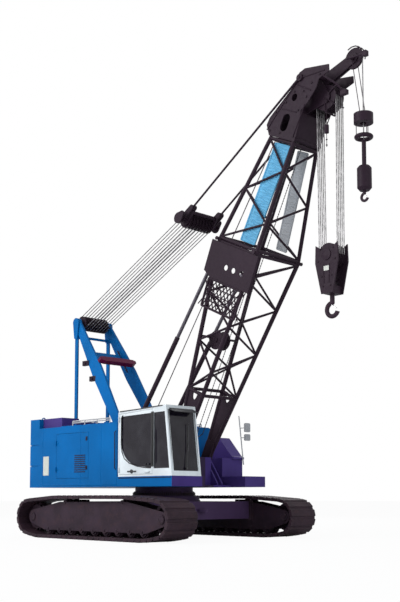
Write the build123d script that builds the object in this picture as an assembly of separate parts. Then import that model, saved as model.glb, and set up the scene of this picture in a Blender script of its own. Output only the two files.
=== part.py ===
from build123d import *
import math
import os

# Lattice-boom crawler crane with its short two-section boom, hook block and auxiliary line.
# Millimetres. +X forward, +Y left, +Z up. The origin is on the ground, on the slewing axis.

# Clearances
SEAT = 0.3              # between pieces that rest on or turn in each other
RUN = 6.0               # between pieces that move past each other
OPEN_PIN = 12.0         # beside a linkage's opened pivot

# Crawlers
TRACK_LENGTH = 5560.0
TRACK_HEIGHT = 1000.0
TRACK_GAUGE = 3900.0
SHOE_WIDTH = 860.0
SHOE_PITCH = 200.0
SHOE_PLATE = 45.0
SHOE_LUG = 32.0
SHOE_GAP = 26.0
SHOE_RAMP = 14.0
END_WHEEL_R = 355.0
END_WHEEL_RISE = 62.0
END_WHEEL_WIDTH = 300.0
END_SHAFT_R = 75.0
ROLLER_R = 140.0
ROLLER_COUNT = 9
ROLLER_REACH = 1720.0
ROLLER_SHAFT_R = 42.0
CARRIER_R = 95.0
CARRIER_REACH = 1050.0
FRAME_PLATE = 32.0
FRAME_INSIDE = 400.0
FRAME_BOX_REACH = 1860.0
FRAME_BOX_GAP = 25.0                # between the frame's box and the rollers
CHEEK_DROP = 30.0                   # side plates below the rollers' shafts
CHEEK_RISE = 25.0                   # side plates above the carriers' shafts
TUMBLER_TEETH = 14
DRIVE_R = 235.0
DRIVE_LENGTH = 170.0
MOTOR_R = 120.0
MOTOR_LENGTH = 210.0

# Carbody and slewing ring
AXLE_X = 1080.0
AXLE_WIDTH = 420.0
AXLE_HEIGHT = 420.0
COLLAR_WALL = 45.0
COLLAR_LENGTH = 90.0
CARBODY_R = 860.0
CARBODY_TOP = 985.0
CARBODY_BOTTOM = 440.0
RING_R = 740.0
RING_BORE_R = 600.0
RING_HEIGHT = 100.0
CENTRE_HOLE_R = 450.0
CENTRE_RECESS = 120.0

TOW_R = 60.0
TOW_BORE_R = 30.0
TOW_PLATE = 50.0

# Rotating frame
DECK_Z = 1200.0
DECK_PLATE = 40.0
DECK_HALF = 800.0
DECK_REAR = -3050.0
DECK_FRONT = 1500.0
WEB_PLATE = 40.0
WEB_HEIGHT = 430.0
SILL_HEIGHT = 230.0
LUG_R = 150.0
LEFT_DECK_FRONT = 1950.0
LEFT_DECK_HEIGHT = 250.0
LEFT_BOX_FRONT = 1200.0
LEFT_BOX_TOP = 1900.0
LEFT_COVER_INNER = 1130.0
LEFT_COVER_LIP = 60.0
LEFT_COVER_TOP = 2420.0
WEB_BASE_REACH = 520.0              # foot brackets ahead of the boom's foot pin
WEB_SLOPE = 900.0                   # and behind it
BULKHEAD_TOP = 1900.0
MAST_R = 14.0
MAST_TOP = 2950.0
MAST_LEAN = 150.0
MIRRORS = ((2330.0, 2490.0), (2540.0, 2760.0))      # lower and upper edge of each
MIRROR_REACH = 110.0
MIRROR_WIDTH = 190.0
MIRROR_DEPTH = 35.0

# Machinery houses, counterweight and cab, in plan
BODY_HALF = 1550.0
BAY_HALF = 900.0
HOUSE_FRONT = 100.0
HOUSE_TOP = 2700.0
HOUSE_WALL = 40.0
HOUSE_DOOR_REAR = -2300.0
HOUSE_DOOR_LENGTH = 1300.0
HOUSE_DOOR_BOTTOM = 1420.0
HOUSE_DOOR_HEIGHT = 1100.0
ENGINE_LENGTH = 1300.0
ENGINE_HEIGHT = 1000.0
WEIGHT_REAR = -3450.0
WEIGHT_TAIL = 330.0
WEIGHT_TOP = 2960.0
WEIGHT_GROOVE = 18.0
HOOD_FRONT = -2250.0
HOOD_HEIGHT = 250.0
HOOD_INSET = 120.0
HOOD_STRIP = 90.0

CAB_REAR = 130.0
CAB_FRONT = 1980.0
CAB_INNER = -660.0
CAB_REAR_TOP = 2920.0
CAB_FRONT_TOP = 3000.0
CAB_FRONT_LEAN = 200.0
CAB_WALL = 45.0
CAB_GLASS = 8.0
DOOR_REAR = 175.0
DOOR_FRONT = 1330.0
DOOR_FRAME = 60.0
DOOR_POST = 38.0
WINDOW_BOTTOM = 1600.0
WINDOW_CORNER = (1160.0, 520.0)     # length and height of the side window's rounded rear corner
VISOR_REACH = 190.0

# Hinges of the doors
HINGE_PIN_R = 8.0
HINGE_BARREL_R = 16.0
HINGE_LEAF = 6.0
HINGE_LEAF_LENGTH = 70.0
HINGE_KNUCKLE = 40.0
CAB_LEAF_LENGTH = 36.0

# Boom, in its own axes: s runs up the boom from the foot pin, t towards its back
FOOT_X = 930.0
FOOT_Z = 1770.0
BOOM_ANGLE = 64.5
FOOT_PIN_R = 60.0
FOOT_EYE_R = 135.0
FOOT_HALF = 470.0
FOOT_EYE_WIDTH = 100.0
FOOT_HALF_DEPTH = 60.0
LEG_LENGTH = 1780.0
LEG_PLATE = 30.0
LEG_HOLE_AT = 0.97                 # share of the leg, to its oval hole
LEG_HOLE = (300.0, 150.0)
SPLICE_S = 5200.0
SPLICE_HALF_DEPTH = 615.0
SPLICE_HALF = 690.0
TIP_END_S = 7650.0
TIP_HALF_DEPTH = 345.0
TIP_HALF = 385.0
CHORD_R = 50.0
LACING_R = 25.0
FRAME_BAR_R = 38.0
FRAME_SHIFT = 20.0                  # end frames beyond the lacing's last points
CHORD_INSET = 0.6                   # plates end inside the chords' outlines
EYE_INSET = 0.88                    # and inside the eyes'
BASE_PANELS = 6
TIP_PANELS = 4
HEAD_PLATE = 25.0
HEAD_CLEAR = 20.0                   # side plates outside the tip's chord lines
SIDE_PANEL_FOOT = 4320.0
SIDE_PANEL_HEAD = 5150.0
SIDE_PANEL_REACH = 790.0
SIDE_PANEL_PLATE = 16.0
SIDE_PANEL_HOLE_R = 62.0

# Boom head sheaves and hook lines
HEAD_AXIS = (8700.0, -600.0)
HEAD_SHEAVE_R = 270.0
SHEAVE_WIDTH = 48.0
SHEAVE_PITCH = 58.0
SHEAVE_GROOVE = 28.0
SHEAVE_SHAFT_R = 50.0
TIP_AXIS = (9600.0, -900.0)
TIP_SHEAVE_R = 220.0
ROPE_R = 13.0
PENDANT_PIN = (8950.0, 10.0)
PENDANT_PIN_R = 30.0
PENDANT_R = 24.0
PENDANT_EYE = 36.0

BLOCK_DROP = 3380.0
BLOCK_SHEAVE_R = 250.0
FALL_SHEAVES = 5
BLOCK_PLATE = 32.0
BLOCK_BOTTOM = 815.0
BLOCK_HALF_LENGTH = 300.0
CROSSHEAD_HEIGHT = 170.0
HOOK_THROAT_R = 95.0
HOOK_SHANK_R = 50.0
HOOK_SHANK = 350.0

AUX_DROP = 1810.0
AUX_SOCKET_R = 45.0
AUX_SOCKET = 540.0
AUX_WEIGHT_R = 150.0
AUX_WEIGHT_LENGTH = 520.0
AUX_SHANK_R = 30.0
AUX_SHANK = 110.0
AUX_THROAT_R = 50.0
LIMIT_WEIGHT_R = 200.0
LIMIT_WEIGHT_HEIGHT = 200.0
LIMIT_WEIGHT_DROP = 1350.0
LIMIT_BORE_R = 75.0
LIMIT_RING_R = 150.0
LIMIT_RING_WIRE = 45.0
LIMIT_RING_DROP = 1740.0
SLING_R = 8.0

# Gantry, luffing tackle and backstops
GANTRY_X = -2880.0
GANTRY_Z = 5560.0
GANTRY_HALF = 500.0
GANTRY_FOOT_X = -420.0
GANTRY_FOOT_Z = 1900.0
GANTRY_FOOT_HALF = 660.0
GANTRY_SHAFT_R = 55.0
GANTRY_LEG_PLATE = 80.0
GANTRY_LEG_SKIN = 60.0
GANTRY_EYE_R = 105.0
GANTRY_TOP_R = 120.0
GANTRY_BELLY = (0.62, 200.0)        # share of the leg to its widest place, and half its depth there
GANTRY_WEB = (0.74, 260.0, 40.0)    # share of the leg to the cross plate, its height and thickness
GANTRY_BEAM = (0.66, 150.0, 130.0)  # share of the leg to the cross beam, its height and thickness
GANTRY_BEAM_HALF = 590.0
LINK_HALF = 525.0
LINK_DROP = 380.0
LINK_WIDTH = 90.0
LINK_PLATE = 40.0
LINK_LUG_PLATE = 30.0
LINK_FOOT_Z = 1850.0
LINK_PIN_R = 35.0
LUFF_SHEAVE_R = 190.0
LUFF_SHEAVES = 8
LUFF_SHEAVE_PITCH = 100.0
BRIDLE_AXIS = (1160.0, 7530.0)      # X and Z of the bridle's shaft
BRIDLE_HALF = 640.0
BRIDLE_PLATE = 30.0
BRIDLE_NOSE = 390.0
BRIDLE_TIE = 250.0
BRIDLE_TIE_R = 45.0

BACKSTOP_FOOT = (-950.0, 1950.0)
BACKSTOP_HALF = 540.0
BACKSTOP_EYE = (4480.0, 800.0)
BACKSTOP_EYE_WIDTH = 40.0
BACKSTOP_LUG = 25.0
BACKSTOP_PIN_R = 35.0
BACKSTOP_TUBE_R = 57.0
BACKSTOP_ROD_R = 42.0
BACKSTOP_TUBE = 3400.0

# Winches
DRUM_R = 215.0
DRUM_FLANGE_R = 330.0
DRUM_SHAFT_R = 60.0
DRUM_Z = 1590.0
DRUM_X = (-340.0, -1600.0, -2350.0)
REAR_DRUM_R = 170.0
REAR_FLANGE_R = 250.0
DRUM_FLANGE = 30.0

# Derived places
SHOE_HEIGHT = SHOE_PLATE + SHOE_LUG
BELT_BOTTOM = SHOE_HEIGHT
BELT_TOP = TRACK_HEIGHT - SHOE_HEIGHT
END_X = TRACK_LENGTH / 2 - SHOE_HEIGHT - END_WHEEL_R
END_Z = BELT_BOTTOM + END_WHEEL_R + END_WHEEL_RISE
ROLLER_Z = BELT_BOTTOM + ROLLER_R
CARRIER_Z = BELT_TOP - CARRIER_R
FRAME_OUT = FRAME_INSIDE / 2 + FRAME_PLATE
BOX_BOTTOM = ROLLER_Z + ROLLER_R + FRAME_BOX_GAP
BOX_TOP = CARRIER_Z - CARRIER_R - FRAME_BOX_GAP
CHEEK_BOTTOM = ROLLER_Z - CHEEK_DROP
CHEEK_TOP = CARRIER_Z + CHEEK_RISE
TRACK_Y = TRACK_GAUGE / 2
COLLAR_FACE = TRACK_Y - FRAME_OUT - COLLAR_LENGTH
DECK_TOP = DECK_Z + DECK_PLATE
SILL_TOP = DECK_Z + SILL_HEIGHT
CAB_BASE = SILL_TOP
ALPHA = math.radians(BOOM_ANGLE)
ALONG = (math.cos(ALPHA), math.sin(ALPHA))
BACK = (-math.sin(ALPHA), math.cos(ALPHA))
BOOM_FRAME = Pos(FOOT_X, 0, FOOT_Z) * Rot(0, -BOOM_ANGLE, 0)
WEB_INSIDE = FOOT_HALF + FOOT_EYE_WIDTH / 2 + RUN
WEB_OUTSIDE = WEB_INSIDE + WEB_PLATE
WEB_TOP = DECK_TOP + WEB_HEIGHT


def boom_to_world(s, t):
    """Place (x, z) of a point given along and across the boom."""
    return (FOOT_X + s * ALONG[0] + t * BACK[0], FOOT_Z + s * ALONG[1] + t * BACK[1])


def block(x0, x1, y0, y1, z0, z1):
    """Rectangular block between two corners."""
    return Pos((x0 + x1) / 2, (y0 + y1) / 2, (z0 + z1) / 2) * Box(x1 - x0, y1 - y0, z1 - z0)


def rod(start, end, radius):
    """Round bar between two points."""
    foot = Vector(*start)
    run = Vector(*end) - foot
    return Solid.make_cylinder(radius, run.length, Plane(origin=foot, z_dir=run))


def pin(x, z, radius, y0, y1):
    """Round bar across the machine."""
    return rod((x, y0, z), (x, y1, z), radius)


def side_plane(y):
    return Plane(origin=(0, y, 0), x_dir=(1, 0, 0), z_dir=(0, -1, 0))


def slab(face, y0, y1):
    """Side-view face, drawn in X and Z, made into a plate between two Y."""
    return extrude(side_plane(y1) * face, amount=y1 - y0)


def outline(*points):
    """Straight-sided side-view face."""
    return make_face(Polyline(*points, close=True))


def belt(*circles):
    """Side-view face inside a belt round circles (x, z, radius) that are listed anticlockwise."""
    count = len(circles)
    runs = []
    for i in range(count):
        x0, z0, r0 = circles[i]
        x1, z1, r1 = circles[(i + 1) % count]
        heading = math.atan2(z1 - z0, x1 - x0)
        normal = heading - math.acos((r0 - r1) / math.hypot(x1 - x0, z1 - z0))
        c, s = math.cos(normal), math.sin(normal)
        runs.append(((x0 + r0 * c, z0 + r0 * s), (x1 + r1 * c, z1 + r1 * s), normal))
    edges = []
    for i in range(count):
        start, end, normal = runs[i]
        x, z, r = circles[(i + 1) % count]
        following = runs[(i + 1) % count]
        middle = normal + ((following[2] - normal) % (2 * math.pi)) / 2
        edges.append(Line(start, end))
        edges.append(ThreePointArc(end, (x + r * math.cos(middle), z + r * math.sin(middle)), following[0]))
    return make_face(Curve() + edges)


def both_sides(shape):
    """The shape and its mirror image across the machine's centre plane."""
    return [shape, mirror(shape, about=Plane.XZ)]


def fused(shapes):
    """One shape from many."""
    first, *others = shapes
    return first.fuse(*others) if others else first


def save(name, shapes):
    """Write one node from a list of shapes that don't touch, or from one shape."""
    solids = [solid for shape in shapes for solid in shape.solids()]
    node = solids[0] if len(solids) == 1 else Compound(children=solids)
    node.label = name
    export_step(node, f"parts/{name}.step")


# Crawlers


def track_circles():
    """Circles (x, z, radius) that the shoes run round, anticlockwise seen from the right."""
    low = ROLLER_REACH + SHOE_PITCH
    high = CARRIER_REACH + SHOE_PITCH
    return [
        (-low, ROLLER_Z, ROLLER_R),
        (low, ROLLER_Z, ROLLER_R),
        (END_X, END_Z, END_WHEEL_R),
        (high, CARRIER_Z, CARRIER_R),
        (-high, CARRIER_Z, CARRIER_R),
        (-END_X, END_Z, END_WHEEL_R),
    ]


def track(y):
    """One loop of flat shoes, each with a raised pad, round the crawler's wheels."""
    loop = belt(*track_circles()).face().outer_wire()
    count = round(loop.length / SHOE_PITCH)
    pins = [loop.position_at(i / count) for i in range(count)]
    pins = [(p.X, p.Y) for p in pins]
    area = sum(a[0] * b[1] - b[0] * a[1] for a, b in zip(pins, pins[1:] + pins[:1]))
    if area < 0:
        pins.reverse()
    outer = []
    for (x0, z0), (x1, z1) in zip(pins, pins[1:] + pins[:1]):
        length = math.hypot(x1 - x0, z1 - z0)
        ux, uz = (x1 - x0) / length, (z1 - z0) / length
        profile = [
            (SHOE_GAP / 2, SHOE_PLATE),
            (SHOE_GAP / 2 + SHOE_RAMP, SHOE_HEIGHT),
            (length - SHOE_GAP / 2 - SHOE_RAMP, SHOE_HEIGHT),
            (length - SHOE_GAP / 2, SHOE_PLATE),
        ]
        for along, out in profile:
            outer.append((x0 + ux * along + uz * out, z0 + uz * along - ux * out))
    face = outline(*outer) - outline(*pins)
    return slab(face, y - SHOE_WIDTH / 2, y + SHOE_WIDTH / 2)


def wheel_run_radius():
    """Radius of an end wheel that fits inside the shoes' straight links."""
    half_link = SHOE_PITCH / 2
    return math.sqrt(END_WHEEL_R ** 2 - half_link ** 2) - SEAT


def end_wheel(x, y):
    """Idler with a raised centre rim and a dished web."""
    run = wheel_run_radius()
    half = END_WHEEL_WIDTH / 2
    profile = [
        (0, -half), (END_SHAFT_R * 1.8, -half), (END_SHAFT_R * 1.8, -half * 0.45),
        (run * 0.72, -half * 0.3), (run * 0.82, -half * 0.8), (run, -half * 0.8),
        (run, half * 0.8), (run * 0.82, half * 0.8), (run * 0.72, half * 0.3),
        (END_SHAFT_R * 1.8, half * 0.45), (END_SHAFT_R * 1.8, half), (0, half),
    ]
    face = make_face(Polyline(*profile, close=True))
    wheel = revolve(face, Axis.Y)
    shaft = pin(0, 0, END_SHAFT_R, -FRAME_OUT, FRAME_OUT)
    return Pos(x, y, END_Z) * fused([wheel, shaft])


def tumbler(x, y):
    """Driving wheel with square-cut teeth."""
    run = wheel_run_radius()
    half = END_WHEEL_WIDTH / 2
    body = pin(0, 0, run * 0.86, -half * 0.8, half * 0.8)
    tooth = block(run * 0.7, run * 0.99, -half * 0.55, half * 0.55, -run * 0.09, run * 0.09)
    teeth = [Rot(0, 360.0 * i / TUMBLER_TEETH, 0) * tooth for i in range(TUMBLER_TEETH)]
    shaft = pin(0, 0, END_SHAFT_R, -FRAME_OUT, FRAME_OUT)
    hub = pin(0, 0, END_SHAFT_R * 1.8, -half, half)
    return Pos(x, y, END_Z) * fused([body, hub, shaft] + teeth)


def roller_places():
    step = 2 * ROLLER_REACH / (ROLLER_COUNT - 1)
    return [-ROLLER_REACH + step * i for i in range(ROLLER_COUNT)]


def roller(x, z, radius, y):
    """Double-flanged roller on its shaft, seen along Y."""
    half = FRAME_INSIDE / 2 - RUN
    run = radius - SEAT
    waist = run * 0.78
    profile = [
        (0, -half), (waist, -half), (waist, -half * 0.86), (run, -half * 0.8), (run, -half * 0.3),
        (waist, -half * 0.24), (waist, half * 0.24), (run, half * 0.3), (run, half * 0.8),
        (waist, half * 0.86), (waist, half), (0, half),
    ]
    body = revolve(make_face(Polyline(*profile, close=True)), Axis.Y)
    shaft = pin(0, 0, ROLLER_SHAFT_R, -FRAME_OUT, FRAME_OUT)
    return Pos(x, y, z) * fused([body, shaft])


def track_frame(y):
    """Side frame: two nosed side plates, a box between them and an eye round each roller's shaft."""
    nose = END_SHAFT_R * 2.2
    round_end = 60.0
    face = belt(
        (-FRAME_BOX_REACH, CHEEK_BOTTOM + round_end, round_end),
        (FRAME_BOX_REACH, CHEEK_BOTTOM + round_end, round_end),
        (END_X, END_Z, nose),
        (CARRIER_REACH + SHOE_PITCH, CHEEK_TOP - round_end, round_end),
        (-CARRIER_REACH - SHOE_PITCH, CHEEK_TOP - round_end, round_end),
        (-END_X, END_Z, nose))
    eye = ROLLER_SHAFT_R * 1.7
    for x in roller_places():
        face += Pos(x, ROLLER_Z) * Circle(eye)
        face -= Pos(x, ROLLER_Z) * Circle(ROLLER_SHAFT_R + SEAT)
    for x in (-CARRIER_REACH, CARRIER_REACH):
        face += Pos(x, CARRIER_Z) * Circle(eye)
        face -= Pos(x, CARRIER_Z) * Circle(ROLLER_SHAFT_R + SEAT)
    for x in (-END_X, END_X):
        face -= Pos(x, END_Z) * Circle(END_SHAFT_R + SEAT)
    cheek = slab(face, y - FRAME_OUT, y - FRAME_INSIDE / 2)
    other = Pos(0, FRAME_INSIDE + FRAME_PLATE, 0) * cheek
    box = block(-FRAME_BOX_REACH, FRAME_BOX_REACH, y - FRAME_INSIDE / 2, y + FRAME_INSIDE / 2, BOX_BOTTOM, BOX_TOP)
    inner = -math.copysign(1, y)
    near, far = sorted((y + inner * FRAME_OUT, y + inner * (FRAME_OUT + COLLAR_LENGTH)))
    half = AXLE_WIDTH / 2 + COLLAR_WALL
    collars = [
        block(x - half, x + half, near, far,
              CARBODY_BOTTOM - COLLAR_WALL, CARBODY_BOTTOM + AXLE_HEIGHT + COLLAR_WALL)
        for x in (-AXLE_X, AXLE_X)
    ]
    return fused([cheek, other, box] + collars)


def travel_drive(y):
    """Reduction gear and motor on the inner face of the side frame, at the tumbler."""
    inner = -math.copysign(1, y)
    face = y + inner * FRAME_OUT
    gear = pin(-END_X, END_Z, DRIVE_R, face, face + inner * DRIVE_LENGTH)
    motor = pin(-END_X, END_Z, MOTOR_R, face, face + inner * (DRIVE_LENGTH + MOTOR_LENGTH))
    return fused([gear, motor])


def carbody():
    """Centre drum on two cross beams that end in the side frames' collars."""
    drum = Pos(0, 0, (CARBODY_BOTTOM + CARBODY_TOP) / 2) * Cylinder(CARBODY_R, CARBODY_TOP - CARBODY_BOTTOM)
    beams = [
        block(x - AXLE_WIDTH / 2, x + AXLE_WIDTH / 2, -COLLAR_FACE, COLLAR_FACE,
              CARBODY_BOTTOM, CARBODY_BOTTOM + AXLE_HEIGHT)
        for x in (-AXLE_X, AXLE_X)
    ]
    spine = block(-AXLE_X, AXLE_X, -CARBODY_R * 0.8, CARBODY_R * 0.8, CARBODY_BOTTOM, CARBODY_BOTTOM + AXLE_HEIGHT)
    recess = Pos(0, 0, CARBODY_TOP) * Cylinder(CENTRE_HOLE_R, 2 * CENTRE_RECESS)
    return fused([drum, spine] + beams) - recess


def ring(z0, z1, outer, inner):
    height = z1 - z0
    return Pos(0, 0, (z0 + z1) / 2) * (Cylinder(outer, height) - Cylinder(inner, height))


def tow_eye():
    """Flat towing lug on the carbody's front beam, with an upright bore."""
    x = AXLE_X + AXLE_WIDTH / 2
    z = CARBODY_BOTTOM + AXLE_HEIGHT / 2
    face = belt((x + TOW_R, -TOW_R, TOW_R), (x + TOW_R * 2, 0, TOW_R * 1.3), (x + TOW_R, TOW_R, TOW_R))
    face += Pos(x + TOW_R / 2, 0) * Rectangle(TOW_R, TOW_R * 4)
    face -= Pos(x + TOW_R * 2, 0) * Circle(TOW_BORE_R)
    return extrude(Plane(origin=(0, 0, z - TOW_PLATE / 2)) * face, amount=TOW_PLATE)


# Upper works


def clevis(x, z, y, width, base_z, base_half, eye_r, plate_width, pin_r):
    """Two upright plates with a pin between them, standing on the deck."""
    face = belt((x - base_half, base_z + 20, 20), (x + base_half, base_z + 20, 20), (x, z, eye_r))
    near = slab(face, y - width / 2 - SEAT - plate_width, y - width / 2 - SEAT)
    far = slab(face, y + width / 2 + SEAT, y + width / 2 + SEAT + plate_width)
    cross = pin(x, z, pin_r, y - width / 2 - SEAT - plate_width, y + width / 2 + SEAT + plate_width)
    return [near, far, cross]


def rotating_frame():
    """Deck, two main webs with the boom's foot clevises, cab platform and the gantry's feet."""
    deck = block(DECK_REAR, HOUSE_FRONT, -BODY_HALF, BODY_HALF, DECK_Z, DECK_TOP)
    nose = block(HOUSE_FRONT, DECK_FRONT, -DECK_HALF, DECK_HALF, DECK_Z, DECK_TOP)
    platform = block(HOUSE_FRONT, CAB_FRONT, -BODY_HALF, -WEB_INSIDE - WEB_PLATE / 2, DECK_Z, SILL_TOP)
    tie = block(DECK_REAR, DECK_REAR + 2 * WEB_PLATE, -WEB_INSIDE, WEB_INSIDE, DECK_Z, WEB_TOP)
    foot = DECK_TOP + 20
    front = FOOT_X + WEB_BASE_REACH
    web = belt((FOOT_X - WEB_SLOPE, foot, 60), (front - 60, foot, 60), (FOOT_X, FOOT_Z, LUG_R))
    shoulder = FOOT_X - 2 * LUG_R
    web += outline((DECK_REAR, DECK_TOP - 20), (shoulder, DECK_TOP - 20), (shoulder, WEB_TOP), (DECK_REAR, WEB_TOP))
    for x in DRUM_X:
        web -= Pos(x, DRUM_Z) * Circle(DRUM_SHAFT_R + SEAT)
    lug = belt((shoulder, foot, 60), (front - 60, foot, 60), (FOOT_X, FOOT_Z, LUG_R))
    lug_inside = FOOT_HALF - FOOT_EYE_WIDTH / 2 - RUN - WEB_PLATE
    bulkhead_x = FOOT_X + WEB_BASE_REACH / 2
    bulkhead = block(bulkhead_x, bulkhead_x + WEB_PLATE, -lug_inside - WEB_PLATE / 2, lug_inside + WEB_PLATE / 2,
                     DECK_TOP - 20, BULKHEAD_TOP)
    shapes = [deck, nose, platform, tie, bulkhead]
    shapes += both_sides(slab(web, WEB_INSIDE, WEB_OUTSIDE))
    shapes += both_sides(slab(lug, lug_inside, lug_inside + WEB_PLATE))
    shapes += both_sides(pin(FOOT_X, FOOT_Z, FOOT_PIN_R, lug_inside, WEB_OUTSIDE))
    for side in (-1, 1):
        shapes += clevis(GANTRY_FOOT_X, GANTRY_FOOT_Z, side * GANTRY_FOOT_HALF, GANTRY_LEG_PLATE,
                         DECK_TOP - 20, 200, GANTRY_EYE_R, 30, LINK_PIN_R)
        shapes += clevis(GANTRY_X, LINK_FOOT_Z, side * LINK_HALF, LINK_PLATE,
                         WEB_TOP - 20, 90, LINK_WIDTH * 0.6, 25, LINK_PIN_R)
        shapes += clevis(BACKSTOP_FOOT[0], BACKSTOP_FOOT[1], side * BACKSTOP_HALF, BACKSTOP_EYE_WIDTH,
                         WEB_TOP - 20, 80, BACKSTOP_PIN_R * 1.8, 20, BACKSTOP_PIN_R)
        for x, y, half in ((BACKSTOP_FOOT[0], BACKSTOP_HALF, BACKSTOP_EYE_WIDTH / 2 + 25),
                           (GANTRY_X, LINK_HALF, LINK_PLATE / 2 + 30)):
            near, far = sorted((side * (y - half), side * (y + half)))
            shapes.append(block(x - 90, x + 90, near, far, WEB_TOP - 40, WEB_TOP + 20))
    centre_hole = Pos(0, 0, DECK_Z) * Cylinder(CENTRE_HOLE_R, 4 * DECK_PLATE)
    return fused(shapes) - centre_hole


def hinge(x, face_y, z, toward, leaf_length=HINGE_LEAF_LENGTH):
    """Fixed and moving halves of a door hinge: leaves on the face, the pin upright at x."""
    out = math.copysign(1, face_y)
    y = face_y + out * (HINGE_BARREL_R + 1)

    def leaf(direction, z0, z1):
        xs = sorted((x, x + direction * leaf_length))
        ys = sorted((face_y, face_y + out * HINGE_LEAF))
        return block(xs[0], xs[1], ys[0], ys[1], z0, z1)

    def barrel(z0, z1):
        return rod((x, y, z0), (x, y, z1), HINGE_BARREL_R)

    low, high = z - HINGE_KNUCKLE / 2, z + HINGE_KNUCKLE / 2
    fixed = [rod((x, y, low - HINGE_KNUCKLE), (x, y, high + HINGE_KNUCKLE), HINGE_PIN_R)]
    for z0, z1 in ((low - HINGE_KNUCKLE, low - SEAT), (high + SEAT, high + HINGE_KNUCKLE)):
        fixed += [barrel(z0, z1), leaf(-toward, z0, z1)]
    bore = rod((x, y, low - 1), (x, y, high + 1), HINGE_PIN_R + SEAT)
    moving = [fused([barrel(low, high), leaf(toward, low, high)]) - bore]
    return fixed, moving


def house(side):
    """Sheet-metal house beside the winch bay, hollow, with a service doorway in its outer wall."""
    ys = sorted((side * BAY_HALF, side * BODY_HALF))
    shell = block(DECK_REAR, HOUSE_FRONT, ys[0], ys[1], DECK_TOP, HOUSE_TOP)
    shell -= block(DECK_REAR + HOUSE_WALL, HOUSE_FRONT - HOUSE_WALL, ys[0] + HOUSE_WALL, ys[1] - HOUSE_WALL,
                   DECK_TOP + HOUSE_WALL, HOUSE_TOP - HOUSE_WALL)
    wall = sorted((side * (BODY_HALF - HOUSE_WALL - 10), side * (BODY_HALF + 10)))
    shell -= block(HOUSE_DOOR_REAR - RUN, HOUSE_DOOR_REAR + HOUSE_DOOR_LENGTH + RUN, wall[0], wall[1],
                   HOUSE_DOOR_BOTTOM - RUN, HOUSE_DOOR_BOTTOM + HOUSE_DOOR_HEIGHT + RUN)
    fixed = [half for z in house_hinge_heights()
             for half in hinge(HOUSE_DOOR_REAR - RUN / 2, side * BODY_HALF, z, 1)[0]]
    return fused([shell] + fixed)


def house_hinge_heights():
    return [HOUSE_DOOR_BOTTOM + HOUSE_DOOR_HEIGHT * share for share in (0.2, 0.8)]


def house_door(side):
    """Service door flush in the house's wall, hinged at its rear edge."""
    ys = sorted((side * (BODY_HALF - HOUSE_WALL), side * BODY_HALF))
    panel = block(HOUSE_DOOR_REAR, HOUSE_DOOR_REAR + HOUSE_DOOR_LENGTH, ys[0], ys[1],
                  HOUSE_DOOR_BOTTOM, HOUSE_DOOR_BOTTOM + HOUSE_DOOR_HEIGHT)
    moving = [half for z in house_hinge_heights()
              for half in hinge(HOUSE_DOOR_REAR - RUN / 2, side * BODY_HALF, z, 1)[1]]
    return fused([panel] + moving)


def engine():
    """Plain block at the engine's place in the left house."""
    rear = DECK_REAR + HOUSE_WALL + 250
    return block(rear, rear + ENGINE_LENGTH, BAY_HALF + HOUSE_WALL + 60, BODY_HALF - HOUSE_WALL - 60,
                 DECK_TOP + HOUSE_WALL, DECK_TOP + HOUSE_WALL + ENGINE_HEIGHT)


def rear_hood():
    """Raised cover over the rear of the houses, open above the winch bay."""
    half = BODY_HALF - HOOD_INSET
    cover = block(DECK_REAR, HOOD_FRONT, -half, half, HOUSE_TOP, HOUSE_TOP + HOOD_HEIGHT)
    return cover - block(DECK_REAR + HOOD_STRIP, HOOD_FRONT + 10, -BAY_HALF, BAY_HALF,
                         HOUSE_TOP - 10, HOUSE_TOP + HOOD_HEIGHT + 10)


def counterweight():
    """Stacked slabs with a rounded tail and a narrow groove at each joint."""
    def plan(inset):
        half = BODY_HALF - inset
        corner = (WEIGHT_REAR + inset, half)
        return make_face(
            Polyline((WEIGHT_REAR + inset, -half), (DECK_REAR, -half), (DECK_REAR, half), corner)
            + ThreePointArc(corner, (WEIGHT_REAR - WEIGHT_TAIL + inset, 0), (WEIGHT_REAR + inset, -half)))
    joints = [DECK_Z, DECK_Z + 560, DECK_Z + 1090, WEIGHT_TOP]
    core = Pos(0, 0, DECK_Z) * extrude(plan(WEIGHT_GROOVE), amount=WEIGHT_TOP - DECK_Z - WEIGHT_GROOVE)
    slabs = [Pos(0, 0, z0) * extrude(plan(0), amount=z1 - z0 - WEIGHT_GROOVE)
             for z0, z1 in zip(joints, joints[1:])]
    return fused([core] + slabs)


def winch_drum(x, radius, flange):
    half = WEB_INSIDE - RUN
    barrel = pin(x, DRUM_Z, radius, -half, half)
    ends = both_sides(pin(x, DRUM_Z, flange, half - DRUM_FLANGE, half))
    shaft = pin(x, DRUM_Z, DRUM_SHAFT_R, -WEB_OUTSIDE, WEB_OUTSIDE)
    return fused([barrel, shaft] + ends)


# Cab


def roof_z(x):
    share = (x - CAB_REAR) / (CAB_FRONT - CAB_FRONT_LEAN - CAB_REAR)
    return CAB_REAR_TOP + share * (CAB_FRONT_TOP - CAB_REAR_TOP)


def front_x(z):
    return CAB_FRONT - CAB_FRONT_LEAN * (z - CAB_BASE) / (CAB_FRONT_TOP - CAB_BASE)


def cab_profile(inset):
    """Side outline of the cab, drawn in by the wall."""
    rear, base = CAB_REAR + inset, CAB_BASE + inset
    return outline((rear, base), (front_x(base) - inset, base),
                   (front_x(CAB_FRONT_TOP - inset) - inset, roof_z(CAB_FRONT - CAB_FRONT_LEAN) - inset),
                   (rear, roof_z(CAB_REAR) - inset))


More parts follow.
